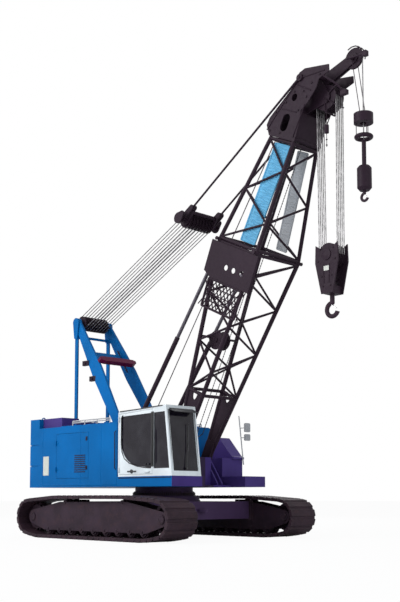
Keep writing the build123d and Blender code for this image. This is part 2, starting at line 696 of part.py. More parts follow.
def side_window(rear, front):
    """Part of the big side window between two X: straight above, rounded at its lower rear corner."""
    long, high = WINDOW_CORNER
    left = DOOR_REAR + DOOR_FRAME
    top = roof_z(CAB_REAR) - CAB_WALL - DOOR_FRAME
    whole = outline((left, WINDOW_BOTTOM), (front_x(WINDOW_BOTTOM) - CAB_WALL - 20, WINDOW_BOTTOM),
                    (front_x(top) - CAB_WALL - 20, top + 40), (left, top))
    corner = make_face(Curve() + [
        Line((left, WINDOW_BOTTOM), (left, WINDOW_BOTTOM + high)),
        ThreePointArc((left, WINDOW_BOTTOM + high), (left + long * 0.16, WINDOW_BOTTOM + high * 0.45),
                      (left + long * 0.5, WINDOW_BOTTOM + high * 0.13)),
        Line((left + long * 0.5, WINDOW_BOTTOM + high * 0.13), (left + long, WINDOW_BOTTOM)),
        Line((left + long, WINDOW_BOTTOM), (left, WINDOW_BOTTOM))])
    cutter = outline((rear, WINDOW_BOTTOM - 10), (front, WINDOW_BOTTOM - 10), (front, CAB_FRONT_TOP), (rear, CAB_FRONT_TOP))
    return (whole - corner) & cutter


def door_panel(inset):
    top = CAB_WALL + RUN + inset
    return outline((DOOR_REAR + inset, CAB_BASE + top), (DOOR_FRONT - inset, CAB_BASE + top),
                   (DOOR_FRONT - inset, roof_z(DOOR_FRONT) - top), (DOOR_REAR + inset, roof_z(DOOR_REAR) - top))


def cab_openings(extra):
    """Front, rear and left window cutters, each grown by extra along the wall's normal."""
    middle_y = (CAB_INNER - BODY_HALF) / 2
    half = (CAB_INNER + BODY_HALF) / 2 - CAB_WALL - 25
    low, high = CAB_BASE + 110, CAB_FRONT_TOP - CAB_WALL - 50
    front = outline((front_x(low) - CAB_WALL - extra, low), (front_x(low) + extra, low),
                    (front_x(high) + extra, high), (front_x(high) - CAB_WALL - extra, high))
    rear_top = CAB_REAR_TOP - CAB_WALL - 90
    return [
        slab(front, middle_y - half, middle_y + half),
        block(CAB_REAR - extra, CAB_REAR + CAB_WALL + extra, middle_y - half + 60, middle_y + half - 60,
              2150, rear_top),
        block(CAB_REAR + 250, CAB_FRONT - 560, CAB_INNER - CAB_WALL - extra, CAB_INNER + extra, 1950, rear_top),
    ]


def cab_shell():
    """Hollow cab with its window openings and its doorway."""
    fixed = []
    shell = slab(cab_profile(0), -BODY_HALF, CAB_INNER)
    shell -= slab(cab_profile(CAB_WALL), -BODY_HALF + CAB_WALL, CAB_INNER - CAB_WALL)
    for cutter in cab_openings(20):
        shell -= cutter
    shell -= slab(door_panel(-RUN), -BODY_HALF - 10, -BODY_HALF + CAB_WALL + 10)
    shell -= slab(side_window(DOOR_FRONT + DOOR_POST, CAB_FRONT), -BODY_HALF - 10, -BODY_HALF + CAB_WALL + 10)
    for z in cab_hinge_heights():
        fixed += hinge(DOOR_REAR - RUN / 2, -BODY_HALF, z, 1, CAB_LEAF_LENGTH)[0]
    return fused([shell] + fixed)


def cab_hinge_heights():
    return (CAB_BASE + 160, CAB_REAR_TOP - 170)


def cab_door():
    """Door frame round the rear part of the side window, hinged at its rear edge."""
    panel = slab(door_panel(0), -BODY_HALF, -BODY_HALF + CAB_WALL)
    panel -= slab(side_window(DOOR_REAR, DOOR_FRONT - DOOR_POST), -BODY_HALF - 10, -BODY_HALF + CAB_WALL + 10)
    moving = []
    for z in cab_hinge_heights():
        moving += hinge(DOOR_REAR - RUN / 2, -BODY_HALF, z, 1, CAB_LEAF_LENGTH)[1]
    handle = block(DOOR_FRONT - 260, DOOR_FRONT - 90, -BODY_HALF - 30, -BODY_HALF, CAB_BASE + 80, CAB_BASE + 115)
    return fused([panel, handle] + moving)


def pane(face, y):
    """Glass in a side wall, a little smaller than its opening."""
    middle = y + CAB_WALL / 2
    return slab(offset(face, amount=-SEAT), middle - CAB_GLASS / 2, middle + CAB_GLASS / 2)


def cab_glass():
    """Front, rear, left and right-hand quarter panes."""
    depth = CAB_WALL - CAB_GLASS
    low, high = CAB_BASE + 110 + SEAT, CAB_FRONT_TOP - CAB_WALL - 50 - SEAT
    middle_y = (CAB_INNER - BODY_HALF) / 2
    half = (CAB_INNER + BODY_HALF) / 2 - CAB_WALL - 25 - SEAT
    back = depth / 2 + CAB_GLASS
    windscreen = outline((front_x(low) - back, low), (front_x(low) - depth / 2, low),
                         (front_x(high) - depth / 2, high), (front_x(high) - back, high))
    rear_x = CAB_REAR + depth / 2
    left_y = CAB_INNER - depth / 2
    rear_top = CAB_REAR_TOP - CAB_WALL - 90 - SEAT
    return [
        slab(windscreen, middle_y - half, middle_y + half),
        block(rear_x, rear_x + CAB_GLASS, middle_y - half + 60, middle_y + half - 60, 2150 + SEAT, rear_top),
        block(CAB_REAR + 250 + SEAT, CAB_FRONT - 560 - SEAT, left_y - CAB_GLASS, left_y, 1950 + SEAT, rear_top),
        pane(side_window(DOOR_FRONT + DOOR_POST, CAB_FRONT), -BODY_HALF),
    ]


def sun_visor():
    z = CAB_FRONT_TOP - CAB_WALL - 60
    face = outline((front_x(z), z), (front_x(z) + VISOR_REACH, z - 60), (front_x(z) + VISOR_REACH, z - 45),
                   (front_x(z + 40), z + 40))
    return slab(face, -BODY_HALF + 90, CAB_INNER - 90)


def seat():
    """Operator's seat on its pedestal."""
    y = (CAB_INNER - BODY_HALF) / 2
    floor = CAB_BASE + CAB_WALL
    pedestal = block(560, 860, y - 160, y + 160, floor, floor + 300)
    cushion = block(480, 980, y - 250, y + 250, floor + 300, floor + 430)
    back = slab(outline((480, floor + 430), (600, floor + 430), (500, floor + 1120), (390, floor + 1120)), y - 240, y + 240)
    return fused([pedestal, cushion, back])


def console():
    """Control desk ahead of the seat with its levers and two side boxes."""
    y = (CAB_INNER - BODY_HALF) / 2
    floor = CAB_BASE + CAB_WALL
    desk = slab(outline((1500, floor), (1700, floor), (1700, floor + 560), (1560, floor + 620), (1440, floor + 540)),
                y - 260, y + 260)
    levers = [rod((1500, y + k * 90, floor + 560), (1440, y + k * 90, floor + 760), 12) for k in (-2, -1, 1, 2)]
    return fused([desk] + levers)


def front_deck():
    """Low walkway box on the left, a raised box behind it and a sloping cover at the outer edge."""
    outer = BODY_HALF - 50
    low = block(HOUSE_FRONT, LEFT_DECK_FRONT, DECK_HALF, outer, DECK_Z, DECK_Z + LEFT_DECK_HEIGHT)
    high = block(HOUSE_FRONT, LEFT_BOX_FRONT, DECK_HALF, outer, DECK_Z, LEFT_BOX_TOP)
    cover = outline((HOUSE_FRONT + 200, LEFT_BOX_TOP - 20), (LEFT_BOX_FRONT + LEFT_COVER_LIP, LEFT_BOX_TOP - 20),
                    (LEFT_BOX_FRONT + LEFT_COVER_LIP, LEFT_BOX_TOP + 30), (LEFT_BOX_FRONT - 20, LEFT_BOX_TOP + 60),
                    (LEFT_BOX_FRONT - 440, LEFT_COVER_TOP), (LEFT_BOX_FRONT - 640, LEFT_COVER_TOP),
                    (HOUSE_FRONT + 200, LEFT_BOX_TOP + 260))
    return fused([low, high, slab(cover, LEFT_COVER_INNER, outer)])


def mirror_mast():
    """Thin leaning mast with two mirrors on brackets at the left front corner."""
    foot_z = LEFT_BOX_TOP - 150
    lean = MAST_LEAN / (MAST_TOP - foot_z)
    x = LEFT_BOX_FRONT + LEFT_COVER_LIP + SEAT + MAST_R * math.hypot(1, lean) + lean * (LEFT_BOX_TOP + 30 - foot_z)
    y = BODY_HALF - 110
    shapes = [rod((x, y, foot_z), (x - MAST_LEAN, y, MAST_TOP), MAST_R)]
    for low, high in MIRRORS:
        z = (low + high) / 2
        shapes.append(rod((x - lean * (z - foot_z), y, z), (x + MIRROR_REACH, y, z), MAST_R * 0.7))
        plane = Plane(origin=(x + MIRROR_REACH, y, z), x_dir=(0, 1, 0), z_dir=(1, 0, 0))
        shapes.append(extrude(plane * RectangleRounded(MIRROR_WIDTH, high - low, 35), amount=MIRROR_DEPTH))
    return fused(shapes)


# Boom


def taper(s):
    """Half depth and half width of the boom's chord lines at a place along it."""
    if s <= SPLICE_S:
        share = s / SPLICE_S
        return (FOOT_HALF_DEPTH + share * (SPLICE_HALF_DEPTH - FOOT_HALF_DEPTH),
                FOOT_HALF + share * (SPLICE_HALF - FOOT_HALF))
    share = (s - SPLICE_S) / (TIP_END_S - SPLICE_S)
    return (SPLICE_HALF_DEPTH + share * (TIP_HALF_DEPTH - SPLICE_HALF_DEPTH),
            SPLICE_HALF + share * (TIP_HALF - SPLICE_HALF))


def corner(s, back, left):
    """Chord line point at s, at the back or front chord and the left or right one."""
    depth, width = taper(s)
    return (s, left * width, back * depth)


CORNERS = ((1, 1), (1, -1), (-1, -1), (-1, 1))


def lacing(stations):
    """Zigzag bars on the four faces and a square frame of bars at each end."""
    bars = []
    for i, (s0, s1) in enumerate(zip(stations, stations[1:])):
        for j, first in enumerate(CORNERS):
            second = CORNERS[(j + 1) % 4]
            start, end = (first, second) if (i + j) % 2 else (second, first)
            bars.append(rod(corner(s0, *start), corner(s1, *end), LACING_R))
    for s in (stations[0] - FRAME_SHIFT, stations[-1] + FRAME_SHIFT):
        for j, first in enumerate(CORNERS):
            bars.append(rod(corner(s, *first), corner(s, *CORNERS[(j + 1) % 4]), FRAME_BAR_R))
    return bars


def stations(start, end, panels):
    return [start + (end - start) * i / panels for i in range(panels + 1)]


def side_panel():
    """Stiffened panel with three holes on the right face, near the splice."""
    slope = math.degrees(math.atan2(SPLICE_HALF - FOOT_HALF, SPLICE_S))
    face = outline((SIDE_PANEL_FOOT, -SIDE_PANEL_REACH), (SIDE_PANEL_HEAD, -SIDE_PANEL_REACH),
                   (SIDE_PANEL_HEAD, SIDE_PANEL_REACH), (SIDE_PANEL_FOOT + 110, SIDE_PANEL_REACH),
                   (SIDE_PANEL_FOOT, SIDE_PANEL_REACH - 260))
    for t in (120, -130, -400):
        face -= Pos(SIDE_PANEL_FOOT + 340, t) * Circle(SIDE_PANEL_HOLE_R)
    panel = slab(face, -SIDE_PANEL_PLATE, 0)
    flange = block(SIDE_PANEL_FOOT, SIDE_PANEL_HEAD, -60, 0, -SIDE_PANEL_REACH, -SIDE_PANEL_REACH + SIDE_PANEL_PLATE)
    return Pos(0, -FOOT_HALF - CHORD_R + 8, 0) * Rot(0, 0, -slope) * fused([panel, flange])


def boom_base():
    """Lattice section that widens from the two foot eyes to the splice."""
    shapes = [rod(corner(LEG_LENGTH * 0.3, *c), corner(SPLICE_S + 10, *c), CHORD_R) for c in CORNERS]
    shapes += [rod(corner(SPLICE_S - 30, *c), corner(SPLICE_S + 10, *c), CHORD_R * 1.5) for c in CORNERS]
    shapes += lacing(stations(LEG_LENGTH, SPLICE_S - 60, BASE_PANELS))
    lean = math.degrees(math.atan2(SPLICE_HALF - FOOT_HALF, SPLICE_S))
    depth = taper(LEG_LENGTH)[0]
    edge = CHORD_R * CHORD_INSET
    leg = belt((0, 0, FOOT_EYE_R * EYE_INSET), (LEG_LENGTH, -depth, edge), (LEG_LENGTH, depth, edge))
    leg -= Pos(LEG_LENGTH * LEG_HOLE_AT, 0) * Ellipse(LEG_HOLE[0] / 2, LEG_HOLE[1] / 2)
    eye = belt((0, 0, FOOT_EYE_R), (LEG_LENGTH * 0.3, -70, 60), (LEG_LENGTH * 0.3, 70, 60))
    lug_half = BACKSTOP_HALF + BACKSTOP_ROD_R + RUN
    back = taper(BACKSTOP_EYE[0])[0]
    lug = belt((BACKSTOP_EYE[0] - 120, back, 30), (BACKSTOP_EYE[0] + 120, back, 30), (*BACKSTOP_EYE, 55))
    for side in (-1, 1):
        y = side * FOOT_HALF
        shapes.append(Pos(0, y, 0) * Rot(0, 0, side * lean) * slab(leg, -LEG_PLATE / 2, LEG_PLATE / 2))
        shapes.append(slab(eye, y - FOOT_EYE_WIDTH / 2, y + FOOT_EYE_WIDTH / 2))
        near, far = sorted((side * lug_half, side * (lug_half + BACKSTOP_LUG)))
        shapes.append(slab(lug, near, far))
    base = fused(shapes) - pin(0, 0, FOOT_PIN_R + SEAT, -FOOT_HALF - FOOT_EYE_WIDTH, FOOT_HALF + FOOT_EYE_WIDTH)
    base &= block(-300, SPLICE_S, -1000, 1000, -1000, 1000)
    return BOOM_FRAME * base.fuse(side_panel())


def boom_tip():
    """Lattice section that narrows from the splice to the head."""
    shapes = [rod(corner(SPLICE_S - 10, *c), corner(TIP_END_S + 10, *c), CHORD_R * 0.9) for c in CORNERS]
    shapes += [rod(corner(SPLICE_S - 10, *c), corner(SPLICE_S + 30, *c), CHORD_R * 1.5) for c in CORNERS]
    shapes += lacing(stations(SPLICE_S + 60, TIP_END_S - 60, TIP_PANELS))
    return BOOM_FRAME * (fused(shapes) & block(SPLICE_S, TIP_END_S, -1000, 1000, -1000, 1000))


HEAD_OUTLINE = (
    (TIP_END_S, -TIP_HALF_DEPTH - CHORD_R), (8000, -370), (8310, -300), (8490, -410), (8810, -520), (9010, -510),
    (9200, -720), (9330, -650), (9160, -30), (9050, 90), (PENDANT_PIN[0] - 90, PENDANT_PIN[1] + 60),
    (8010, 540), (7850, 560), (TIP_END_S, TIP_HALF_DEPTH + CHORD_R))
HEAD_HOLES = ((7990, 40, 380, 210), (8540, 0, 160, 150))      # s, t, length and width


def head_half():
    """Distance of the head's outer plates from the centre plane."""
    return TIP_HALF + HEAD_CLEAR


def cheek_half():
    """Distance of the head sheaves' bearing plates from the centre plane."""
    return SHEAVE_PITCH * FALL_SHEAVES / 2 + RUN


def boom_head():
    """Two side plates joined by webs, bearing plates for the sheaves and the tip sheave's twin arm."""
    plate = outline(*HEAD_OUTLINE)
    for s, t, length, width in HEAD_HOLES:
        plate -= Pos(s, t) * SlotOverall(length, width)
    y = head_half()
    shapes = both_sides(slab(plate, y, y + HEAD_PLATE))
    for s, t in ((TIP_END_S + 60, TIP_HALF_DEPTH - 20), (TIP_END_S + 60, -TIP_HALF_DEPTH + 20), (9080, -300)):
        shapes.append(rod((s, -y - 5, t), (s, y + 5, t), FRAME_BAR_R * 1.2))
    for s0, t0, s1, t1 in ((7720, 330, 8080, 370), (8080, 370, 8780, 20), (7720, -330, 8280, -230), (8280, -230, 8420, -120)):
        shapes.append(beam((s0, 0, t0), (s1, 0, t1), 2 * y + 10, HEAD_PLATE))
    cheek = belt((*HEAD_AXIS, 130), (9000, -200, 90), (8500, 60, 60), (8330, -190, 60))
    cheek -= Pos(*HEAD_AXIS) * Circle(SHEAVE_SHAFT_R + SEAT)
    shapes += both_sides(slab(cheek, cheek_half(), cheek_half() + HEAD_PLATE))
    arm = belt((8700, -60, 90), (*TIP_AXIS, 110), (9080, -330, 110))
    arm_half = SHEAVE_WIDTH / 2 + RUN
    arm -= Pos(*TIP_AXIS) * Circle(SHEAVE_SHAFT_R + SEAT)
    shapes += both_sides(slab(arm, arm_half, arm_half + HEAD_PLATE))
    s, t = PENDANT_PIN
    shapes += both_sides(rod((s, y, t), (s, pendant_y() + PENDANT_EYE, t), PENDANT_PIN_R))
    clear = 2 * TIP_END_S
    return BOOM_FRAME * (fused(shapes) & block(TIP_END_S, clear, -clear, clear, -clear, clear))


def sheave(radius, width):
    """Grooved wheel on the Y axis, without its shaft."""
    floor = radius - SHEAVE_GROOVE
    half = width / 2
    bore = SHEAVE_SHAFT_R - 20
    profile = [(bore, -half), (radius, -half), (radius, -half + 5), (floor, -ROPE_R - 2), (floor, ROPE_R + 2),
               (radius, half - 5), (radius, half), (bore, half)]
    return revolve(make_face(Polyline(*profile, close=True)), Axis.Y)


def sheave_rows(count, pitch):
    return [pitch * (i - (count - 1) / 2) for i in range(count)]


def sheave_stack(x, z, radius, count, pitch, shaft_half):
    wheel = sheave(radius, SHEAVE_WIDTH)
    wheels = [Pos(x, y, z) * wheel for y in sheave_rows(count, pitch)]
    return fused([pin(x, z, SHEAVE_SHAFT_R, -shaft_half, shaft_half)] + wheels)


def rope_line(radius):
    """Distance of a rope's centre line from the axis of the sheave that it leaves."""
    return radius - SHEAVE_GROOVE + ROPE_R + SEAT


# Hook block and auxiliary line


HEAD_X, HEAD_Z = boom_to_world(*HEAD_AXIS)
TIP_X, TIP_Z = boom_to_world(*TIP_AXIS)
BLOCK_Z = HEAD_Z - BLOCK_DROP


def main_fall_ropes():
    """Parts of the hoist rope between the head sheaves and the block."""
    ropes = []
    rows = sheave_rows(FALL_SHEAVES, SHEAVE_PITCH)
    for y in rows:
        for side in (-1, 1):
            ropes.append(rod((HEAD_X + side * rope_line(HEAD_SHEAVE_R), y, HEAD_Z),
                             (HEAD_X + side * rope_line(BLOCK_SHEAVE_R), y, BLOCK_Z), ROPE_R))
    return ropes


def hook_block():
    """Two cheek plates beside the sheaves, notched at the top and closing on the hook's crosshead."""
    top = BLOCK_Z + BLOCK_SHEAVE_R * 0.9
    low = BLOCK_Z - BLOCK_BOTTOM
    wide = BLOCK_HALF_LENGTH
    right = [(wide * 0.35, top - 120), (wide * 0.95, top), (wide, BLOCK_Z - 150), (wide * 0.5, low)]
    points = [(HEAD_X + dx, z) for dx, z in right] + [(HEAD_X - dx, z) for dx, z in reversed(right)]
    cheek = outline(*points)
    cheek -= Pos(HEAD_X, BLOCK_Z) * Circle(SHEAVE_SHAFT_R + SEAT)
    half = cheek_half()
    cheeks = both_sides(slab(cheek, half, half + BLOCK_PLATE))
    crosshead = block(HEAD_X - wide * 0.4, HEAD_X + wide * 0.4, -half - BLOCK_PLATE / 2, half + BLOCK_PLATE / 2,
                      low, low + CROSSHEAD_HEIGHT)
    crosshead -= rod((HEAD_X, 0, low - 10), (HEAD_X, 0, low + CROSSHEAD_HEIGHT + 10), HOOK_SHANK_R + SEAT)
    return fused(cheeks + [crosshead])


def hook(x, top_z, shank_r, throat_r, shank):
    """Single hook: shank, round bowl and tapered point."""
    bar = shank_r * 0.95
    centre_z = top_z - shank - throat_r - bar
    section = Plane((x, 0, centre_z + throat_r + bar), x_dir=(0, 1, 0), z_dir=(1, 0, 0)) * Circle(bar)
    bowl = revolve(section, Axis((x, 0, centre_z), (0, 1, 0)), revolution_arc=-250)
    neck = rod((x, 0, centre_z + throat_r + bar), (x, 0, top_z), shank_r)
    ball = Pos(x, 0, centre_z + throat_r + bar) * Sphere(shank_r)
    nut = rod((x, 0, top_z), (x, 0, top_z + shank_r * 0.8), shank_r * 1.5)
    return fused([bowl, neck, ball, nut])


def main_hook():
    return hook(HEAD_X, BLOCK_Z - BLOCK_BOTTOM + CROSSHEAD_HEIGHT + SEAT, HOOK_SHANK_R, HOOK_THROAT_R, HOOK_SHANK)


AUX_X = TIP_X + rope_line(TIP_SHEAVE_R)
AUX_Z = TIP_Z - AUX_DROP


def aux_fall_ropes():
    return [rod((AUX_X, 0, TIP_Z), (AUX_X, 0, AUX_Z), ROPE_R)]


def limit_weight():
    """Bored weight and ring that hang from the tip round the rope, on slings."""
    z = TIP_Z - LIMIT_WEIGHT_DROP
    ring_z = TIP_Z - LIMIT_RING_DROP
    weight = Pos(AUX_X, 0, z) * (Cylinder(LIMIT_WEIGHT_R, LIMIT_WEIGHT_HEIGHT)
                                 - Cylinder(LIMIT_BORE_R, LIMIT_WEIGHT_HEIGHT))
    hoop = Pos(AUX_X, 0, ring_z) * Torus(LIMIT_RING_R, LIMIT_RING_WIRE)
    y = tip_shaft_half() - 12
    slings = both_sides(rod((TIP_X, y, TIP_Z), (AUX_X, y, z), SLING_R))
    for turn in (90, 210, 330):
        c, s = math.cos(math.radians(turn)), math.sin(math.radians(turn))
        slings.append(rod((AUX_X + LIMIT_RING_R * c, LIMIT_RING_R * s, z),
                          (AUX_X + LIMIT_RING_R * c, LIMIT_RING_R * s, ring_z), SLING_R))
    return fused([weight, hoop] + slings)


def tip_shaft_half():
    """The tip sheave's shaft stands out of its arms to carry the limit weight's slings."""
    return max(SHEAVE_WIDTH / 2 + RUN + HEAD_PLATE + 30, LIMIT_BORE_R + 4 * SLING_R)


def aux_weight():
    """Weight above the auxiliary hook, with its long rope socket."""
    body_top = AUX_Z - AUX_SOCKET
    socket = rod((AUX_X, 0, AUX_Z - SEAT), (AUX_X, 0, body_top - 30), AUX_SOCKET_R)
    face = make_face(Polyline(
        (0, 0), (AUX_WEIGHT_R - 50, 0), (AUX_WEIGHT_R, 60), (AUX_WEIGHT_R, AUX_WEIGHT_LENGTH - 50),
        (AUX_WEIGHT_R - 40, AUX_WEIGHT_LENGTH), (0, AUX_WEIGHT_LENGTH), close=True))
    body = Pos(AUX_X, 0, body_top - AUX_WEIGHT_LENGTH) * revolve(Plane.XZ * face, Axis.Z)
    nut_z = aux_hook_top()
    bore = rod((AUX_X, 0, nut_z), (AUX_X, 0, nut_z - 200), AUX_SHANK_R + SEAT)
    pocket = rod((AUX_X, 0, nut_z - SEAT), (AUX_X, 0, nut_z + AUX_SHANK_R + SEAT), AUX_SHANK_R * 1.5 + SEAT)
    return fused([socket, body]) - bore - pocket


def aux_hook_top():
    return AUX_Z - AUX_SOCKET - AUX_WEIGHT_LENGTH + 60


def aux_hook():
    return hook(AUX_X, aux_hook_top(), AUX_SHANK_R, AUX_THROAT_R, AUX_SHANK)


# Gantry, luffing tackle and backstops


PENDANT_X, PENDANT_Z = boom_to_world(*PENDANT_PIN)
LUFF_ANGLE = math.degrees(math.atan2(BRIDLE_AXIS[1] - GANTRY_Z, BRIDLE_AXIS[0] - GANTRY_X))
BRIDLE_REACH = math.hypot(BRIDLE_AXIS[1] - GANTRY_Z, BRIDLE_AXIS[0] - GANTRY_X)
LUFF_FRAME = Pos(GANTRY_X, 0, GANTRY_Z) * Rot(0, -LUFF_ANGLE, 0)
PENDANT_ANGLE = math.degrees(math.atan2(PENDANT_Z - BRIDLE_AXIS[1], PENDANT_X - BRIDLE_AXIS[0]))
PENDANT_LENGTH = math.hypot(PENDANT_Z - BRIDLE_AXIS[1], PENDANT_X - BRIDLE_AXIS[0])
PENDANT_FRAME = Pos(BRIDLE_AXIS[0], 0, BRIDLE_AXIS[1]) * Rot(0, -PENDANT_ANGLE, 0)


def beam(start, end, width, depth):
    """Rectangular bar between two points, width across the machine."""
    foot = Vector(*start)
    run = Vector(*end) - foot
    across = Vector(0, 1, 0) - run * (run.Y / run.dot(run))
    plane = Plane(origin=foot, x_dir=across, z_dir=run)
    return extrude(plane * Rectangle(width, depth), amount=run.length)


def leg_point(share, side):
    """Place on a gantry leg's centre line, from its foot at 0 to its top at 1."""
    return (GANTRY_FOOT_X + share * (GANTRY_X - GANTRY_FOOT_X),
            side * (GANTRY_FOOT_HALF + share * (GANTRY_HALF - GANTRY_FOOT_HALF)),
            GANTRY_FOOT_Z + share * (GANTRY_Z - GANTRY_FOOT_Z))


def gantry_leg(side):
    """Leaning leg: a bellied plate, deepest at its middle, with round ends."""
    foot = Vector(*leg_point(0, side))
    run = Vector(*leg_point(1, side)) - foot
    across = Vector(0, 1, 0) - run * (run.Y / run.dot(run))
    plane = Plane(origin=foot, x_dir=run, z_dir=across)
    share, belly = GANTRY_BELLY
    face = belt((0, 0, GANTRY_EYE_R * EYE_INSET), (run.length * share, 0, belly - 1),
                (run.length, 0, GANTRY_TOP_R * EYE_INSET), (run.length * share, 0, belly))
    return extrude(plane * face, amount=GANTRY_LEG_SKIN / 2, both=True)


def gantry_legs():
    """Leaning A-frame: two legs, a cross plate, the head shaft and the lugs that the links hang from."""
    shapes = []
    link_z = GANTRY_Z - LINK_DROP
    lug = belt((GANTRY_X, link_z, LINK_PIN_R * 2), (GANTRY_X, GANTRY_Z, GANTRY_TOP_R))
    half = GANTRY_LEG_PLATE / 2
    shaft_half = LINK_HALF + LINK_PLATE / 2 + SEAT + LINK_LUG_PLATE
    for side in (-1, 1):
        foot = leg_point(0, side)
        top = leg_point(1, side)
        shapes.append(gantry_leg(side))
        shapes.append(pin(foot[0], foot[2], GANTRY_EYE_R, foot[1] - half, foot[1] + half))
        shapes.append(pin(top[0], top[2], GANTRY_TOP_R, top[1] - half, top[1] + half))
        for y in (LINK_HALF - LINK_PLATE / 2 - SEAT - LINK_LUG_PLATE, LINK_HALF + LINK_PLATE / 2 + SEAT):
            near, far = sorted((side * y, side * (y + LINK_LUG_PLATE)))
            shapes.append(slab(lug, near, far))
    shapes.append(pin(GANTRY_X, GANTRY_Z, GANTRY_SHAFT_R, -shaft_half, shaft_half))
    shapes.append(pin(GANTRY_X, link_z, LINK_PIN_R, -shaft_half, shaft_half))
    share, height, thick = GANTRY_WEB
    reach = height / 2 / (Vector(*leg_point(1, 0)) - Vector(*leg_point(0, 0))).length
    width = 2 * abs(leg_point(share, 1)[1])
    shapes.append(beam(leg_point(share - reach, 0), leg_point(share + reach, 0), width, thick))
    legs = fused(shapes)
    for side in (-1, 1):
        y = side * GANTRY_FOOT_HALF
        legs -= pin(GANTRY_FOOT_X, GANTRY_FOOT_Z, LINK_PIN_R + SEAT, y - GANTRY_LEG_PLATE, y + GANTRY_LEG_PLATE)
    return legs


def gantry_beam():
    """Cross beam on the front edges of the legs, with drawn-in ends."""
    foot = Vector(*leg_point(0, 0))
    run = Vector(*leg_point(1, 0)) - foot
    along = run.normalized()
    front = Vector(along.Z, 0, -along.X)
    share, height, thick = GANTRY_BEAM
    belly_share, belly = GANTRY_BELLY
    sink = (belly - GANTRY_TOP_R * EYE_INSET) / (run.length * (1 - belly_share))
    slope = math.sqrt(1 - sink ** 2)
    edge = (belly - (share - belly_share) * run.length * sink) / slope
    middle = foot + run * share + front * (edge + SEAT)
    half = GANTRY_BEAM_HALF
    face = make_face(Polyline(
        (-half, -height * 0.2), (-half * 0.8, -height / 2), (half * 0.8, -height / 2), (half, -height * 0.2),
        (half, height * 0.3), (half * 0.85, height / 2), (-half * 0.85, height / 2), (-half, height * 0.3), close=True))
    plane = Plane(origin=middle, x_dir=(0, 1, 0), z_dir=front * slope + along * sink)
    return extrude(plane * face, amount=thick)


def gantry_links():
    """Upright flat links from the lugs below the head shaft down to the frame."""
    top = GANTRY_Z - LINK_DROP
    face = belt((GANTRY_X, LINK_FOOT_Z, LINK_WIDTH / 2 + 5), (GANTRY_X, top, LINK_WIDTH / 2 + 15))
    face -= Pos(GANTRY_X, LINK_FOOT_Z) * Circle(LINK_PIN_R + SEAT)
    face -= Pos(GANTRY_X, top) * Circle(LINK_PIN_R + SEAT)
    return both_sides(slab(face, LINK_HALF - LINK_PLATE / 2, LINK_HALF + LINK_PLATE / 2))


def gantry_sheaves():
    hub = GANTRY_HALF - GANTRY_LEG_PLATE / 2 - RUN
    wheels = sheave_stack(GANTRY_X, GANTRY_Z, LUFF_SHEAVE_R, LUFF_SHEAVES, LUFF_SHEAVE_PITCH, hub)
    wheels += pin(GANTRY_X, GANTRY_Z, GANTRY_SHAFT_R + 20, -hub, hub)
    return wheels - pin(GANTRY_X, GANTRY_Z, GANTRY_SHAFT_R + SEAT, -LINK_HALF, LINK_HALF)


def luffing_ropes():
    """Parts of the luffing rope between the gantry's sheaves and the bridle's."""
    line = rope_line(LUFF_SHEAVE_R)
    return [LUFF_FRAME * rod((0, y, side * line), (BRIDLE_REACH, y, side * line), ROPE_R)
            for y in sheave_rows(LUFF_SHEAVES, LUFF_SHEAVE_PITCH) for side in (-1, 1)]


def bridle_edge():
    """Distance of the bridle's inner cheeks from the centre plane."""
    return LUFF_SHEAVE_PITCH * (LUFF_SHEAVES - 1) / 2 + SHEAVE_WIDTH / 2 + RUN


def bridle_frame():
    """Spreader between the luffing tackle and the pendants: cheeks, tie tube, shaft ends and nose plates."""
    edge = bridle_edge()
    beside = pendant_y() + PENDANT_EYE / 2 + OPEN_PIN
    inside = pendant_y() - PENDANT_EYE / 2 - OPEN_PIN
    cheek = belt((0, 0, 150), (BRIDLE_TIE, 0, 70))
    nose = belt((0, 0, 75), (BRIDLE_NOSE, 0, 60))
    end = belt((0, 0, 130), (160, 0, 60))
    shapes = both_sides(slab(cheek, edge, inside))
    shapes += both_sides(slab(nose, edge, inside))
    shapes += both_sides(slab(nose, beside, beside + BRIDLE_PLATE))
    shapes += both_sides(slab(end, BRIDLE_HALF - BRIDLE_PLATE, BRIDLE_HALF))
    shapes += both_sides(pin(0, 0, SHEAVE_SHAFT_R, edge, BRIDLE_HALF))
    shapes.append(pin(BRIDLE_TIE, 0, BRIDLE_TIE_R, -inside, inside))
    return PENDANT_FRAME * (fused(shapes) - pin(0, 0, SHEAVE_SHAFT_R + SEAT, -edge - 5, edge + 5))


def pendant_y():
    """Distance of each pendant from the machine's centre plane."""
    return head_half() + HEAD_PLATE + RUN + max(PENDANT_EYE / 2, PENDANT_R)


def pendants():
    """Two stay bars from the boom head back to the bridle."""
    bars = []
    for side in (-1, 1):
        y = side * pendant_y()
        bar = rod((BRIDLE_NOSE, y, 0), (PENDANT_LENGTH - PENDANT_PIN_R * 2, y, 0), PENDANT_R)
        eye = pin(PENDANT_LENGTH, 0, PENDANT_PIN_R * 2.5, y - PENDANT_EYE / 2, y + PENDANT_EYE / 2)
        end = pin(BRIDLE_NOSE, 0, PENDANT_PIN_R * 2, y - PENDANT_EYE / 2, y + PENDANT_EYE / 2)
        bore = pin(PENDANT_LENGTH, 0, PENDANT_PIN_R + SEAT, y - PENDANT_EYE, y + PENDANT_EYE)
        bars.append(PENDANT_FRAME * (fused([bar, eye, end]) - bore))
    return bars


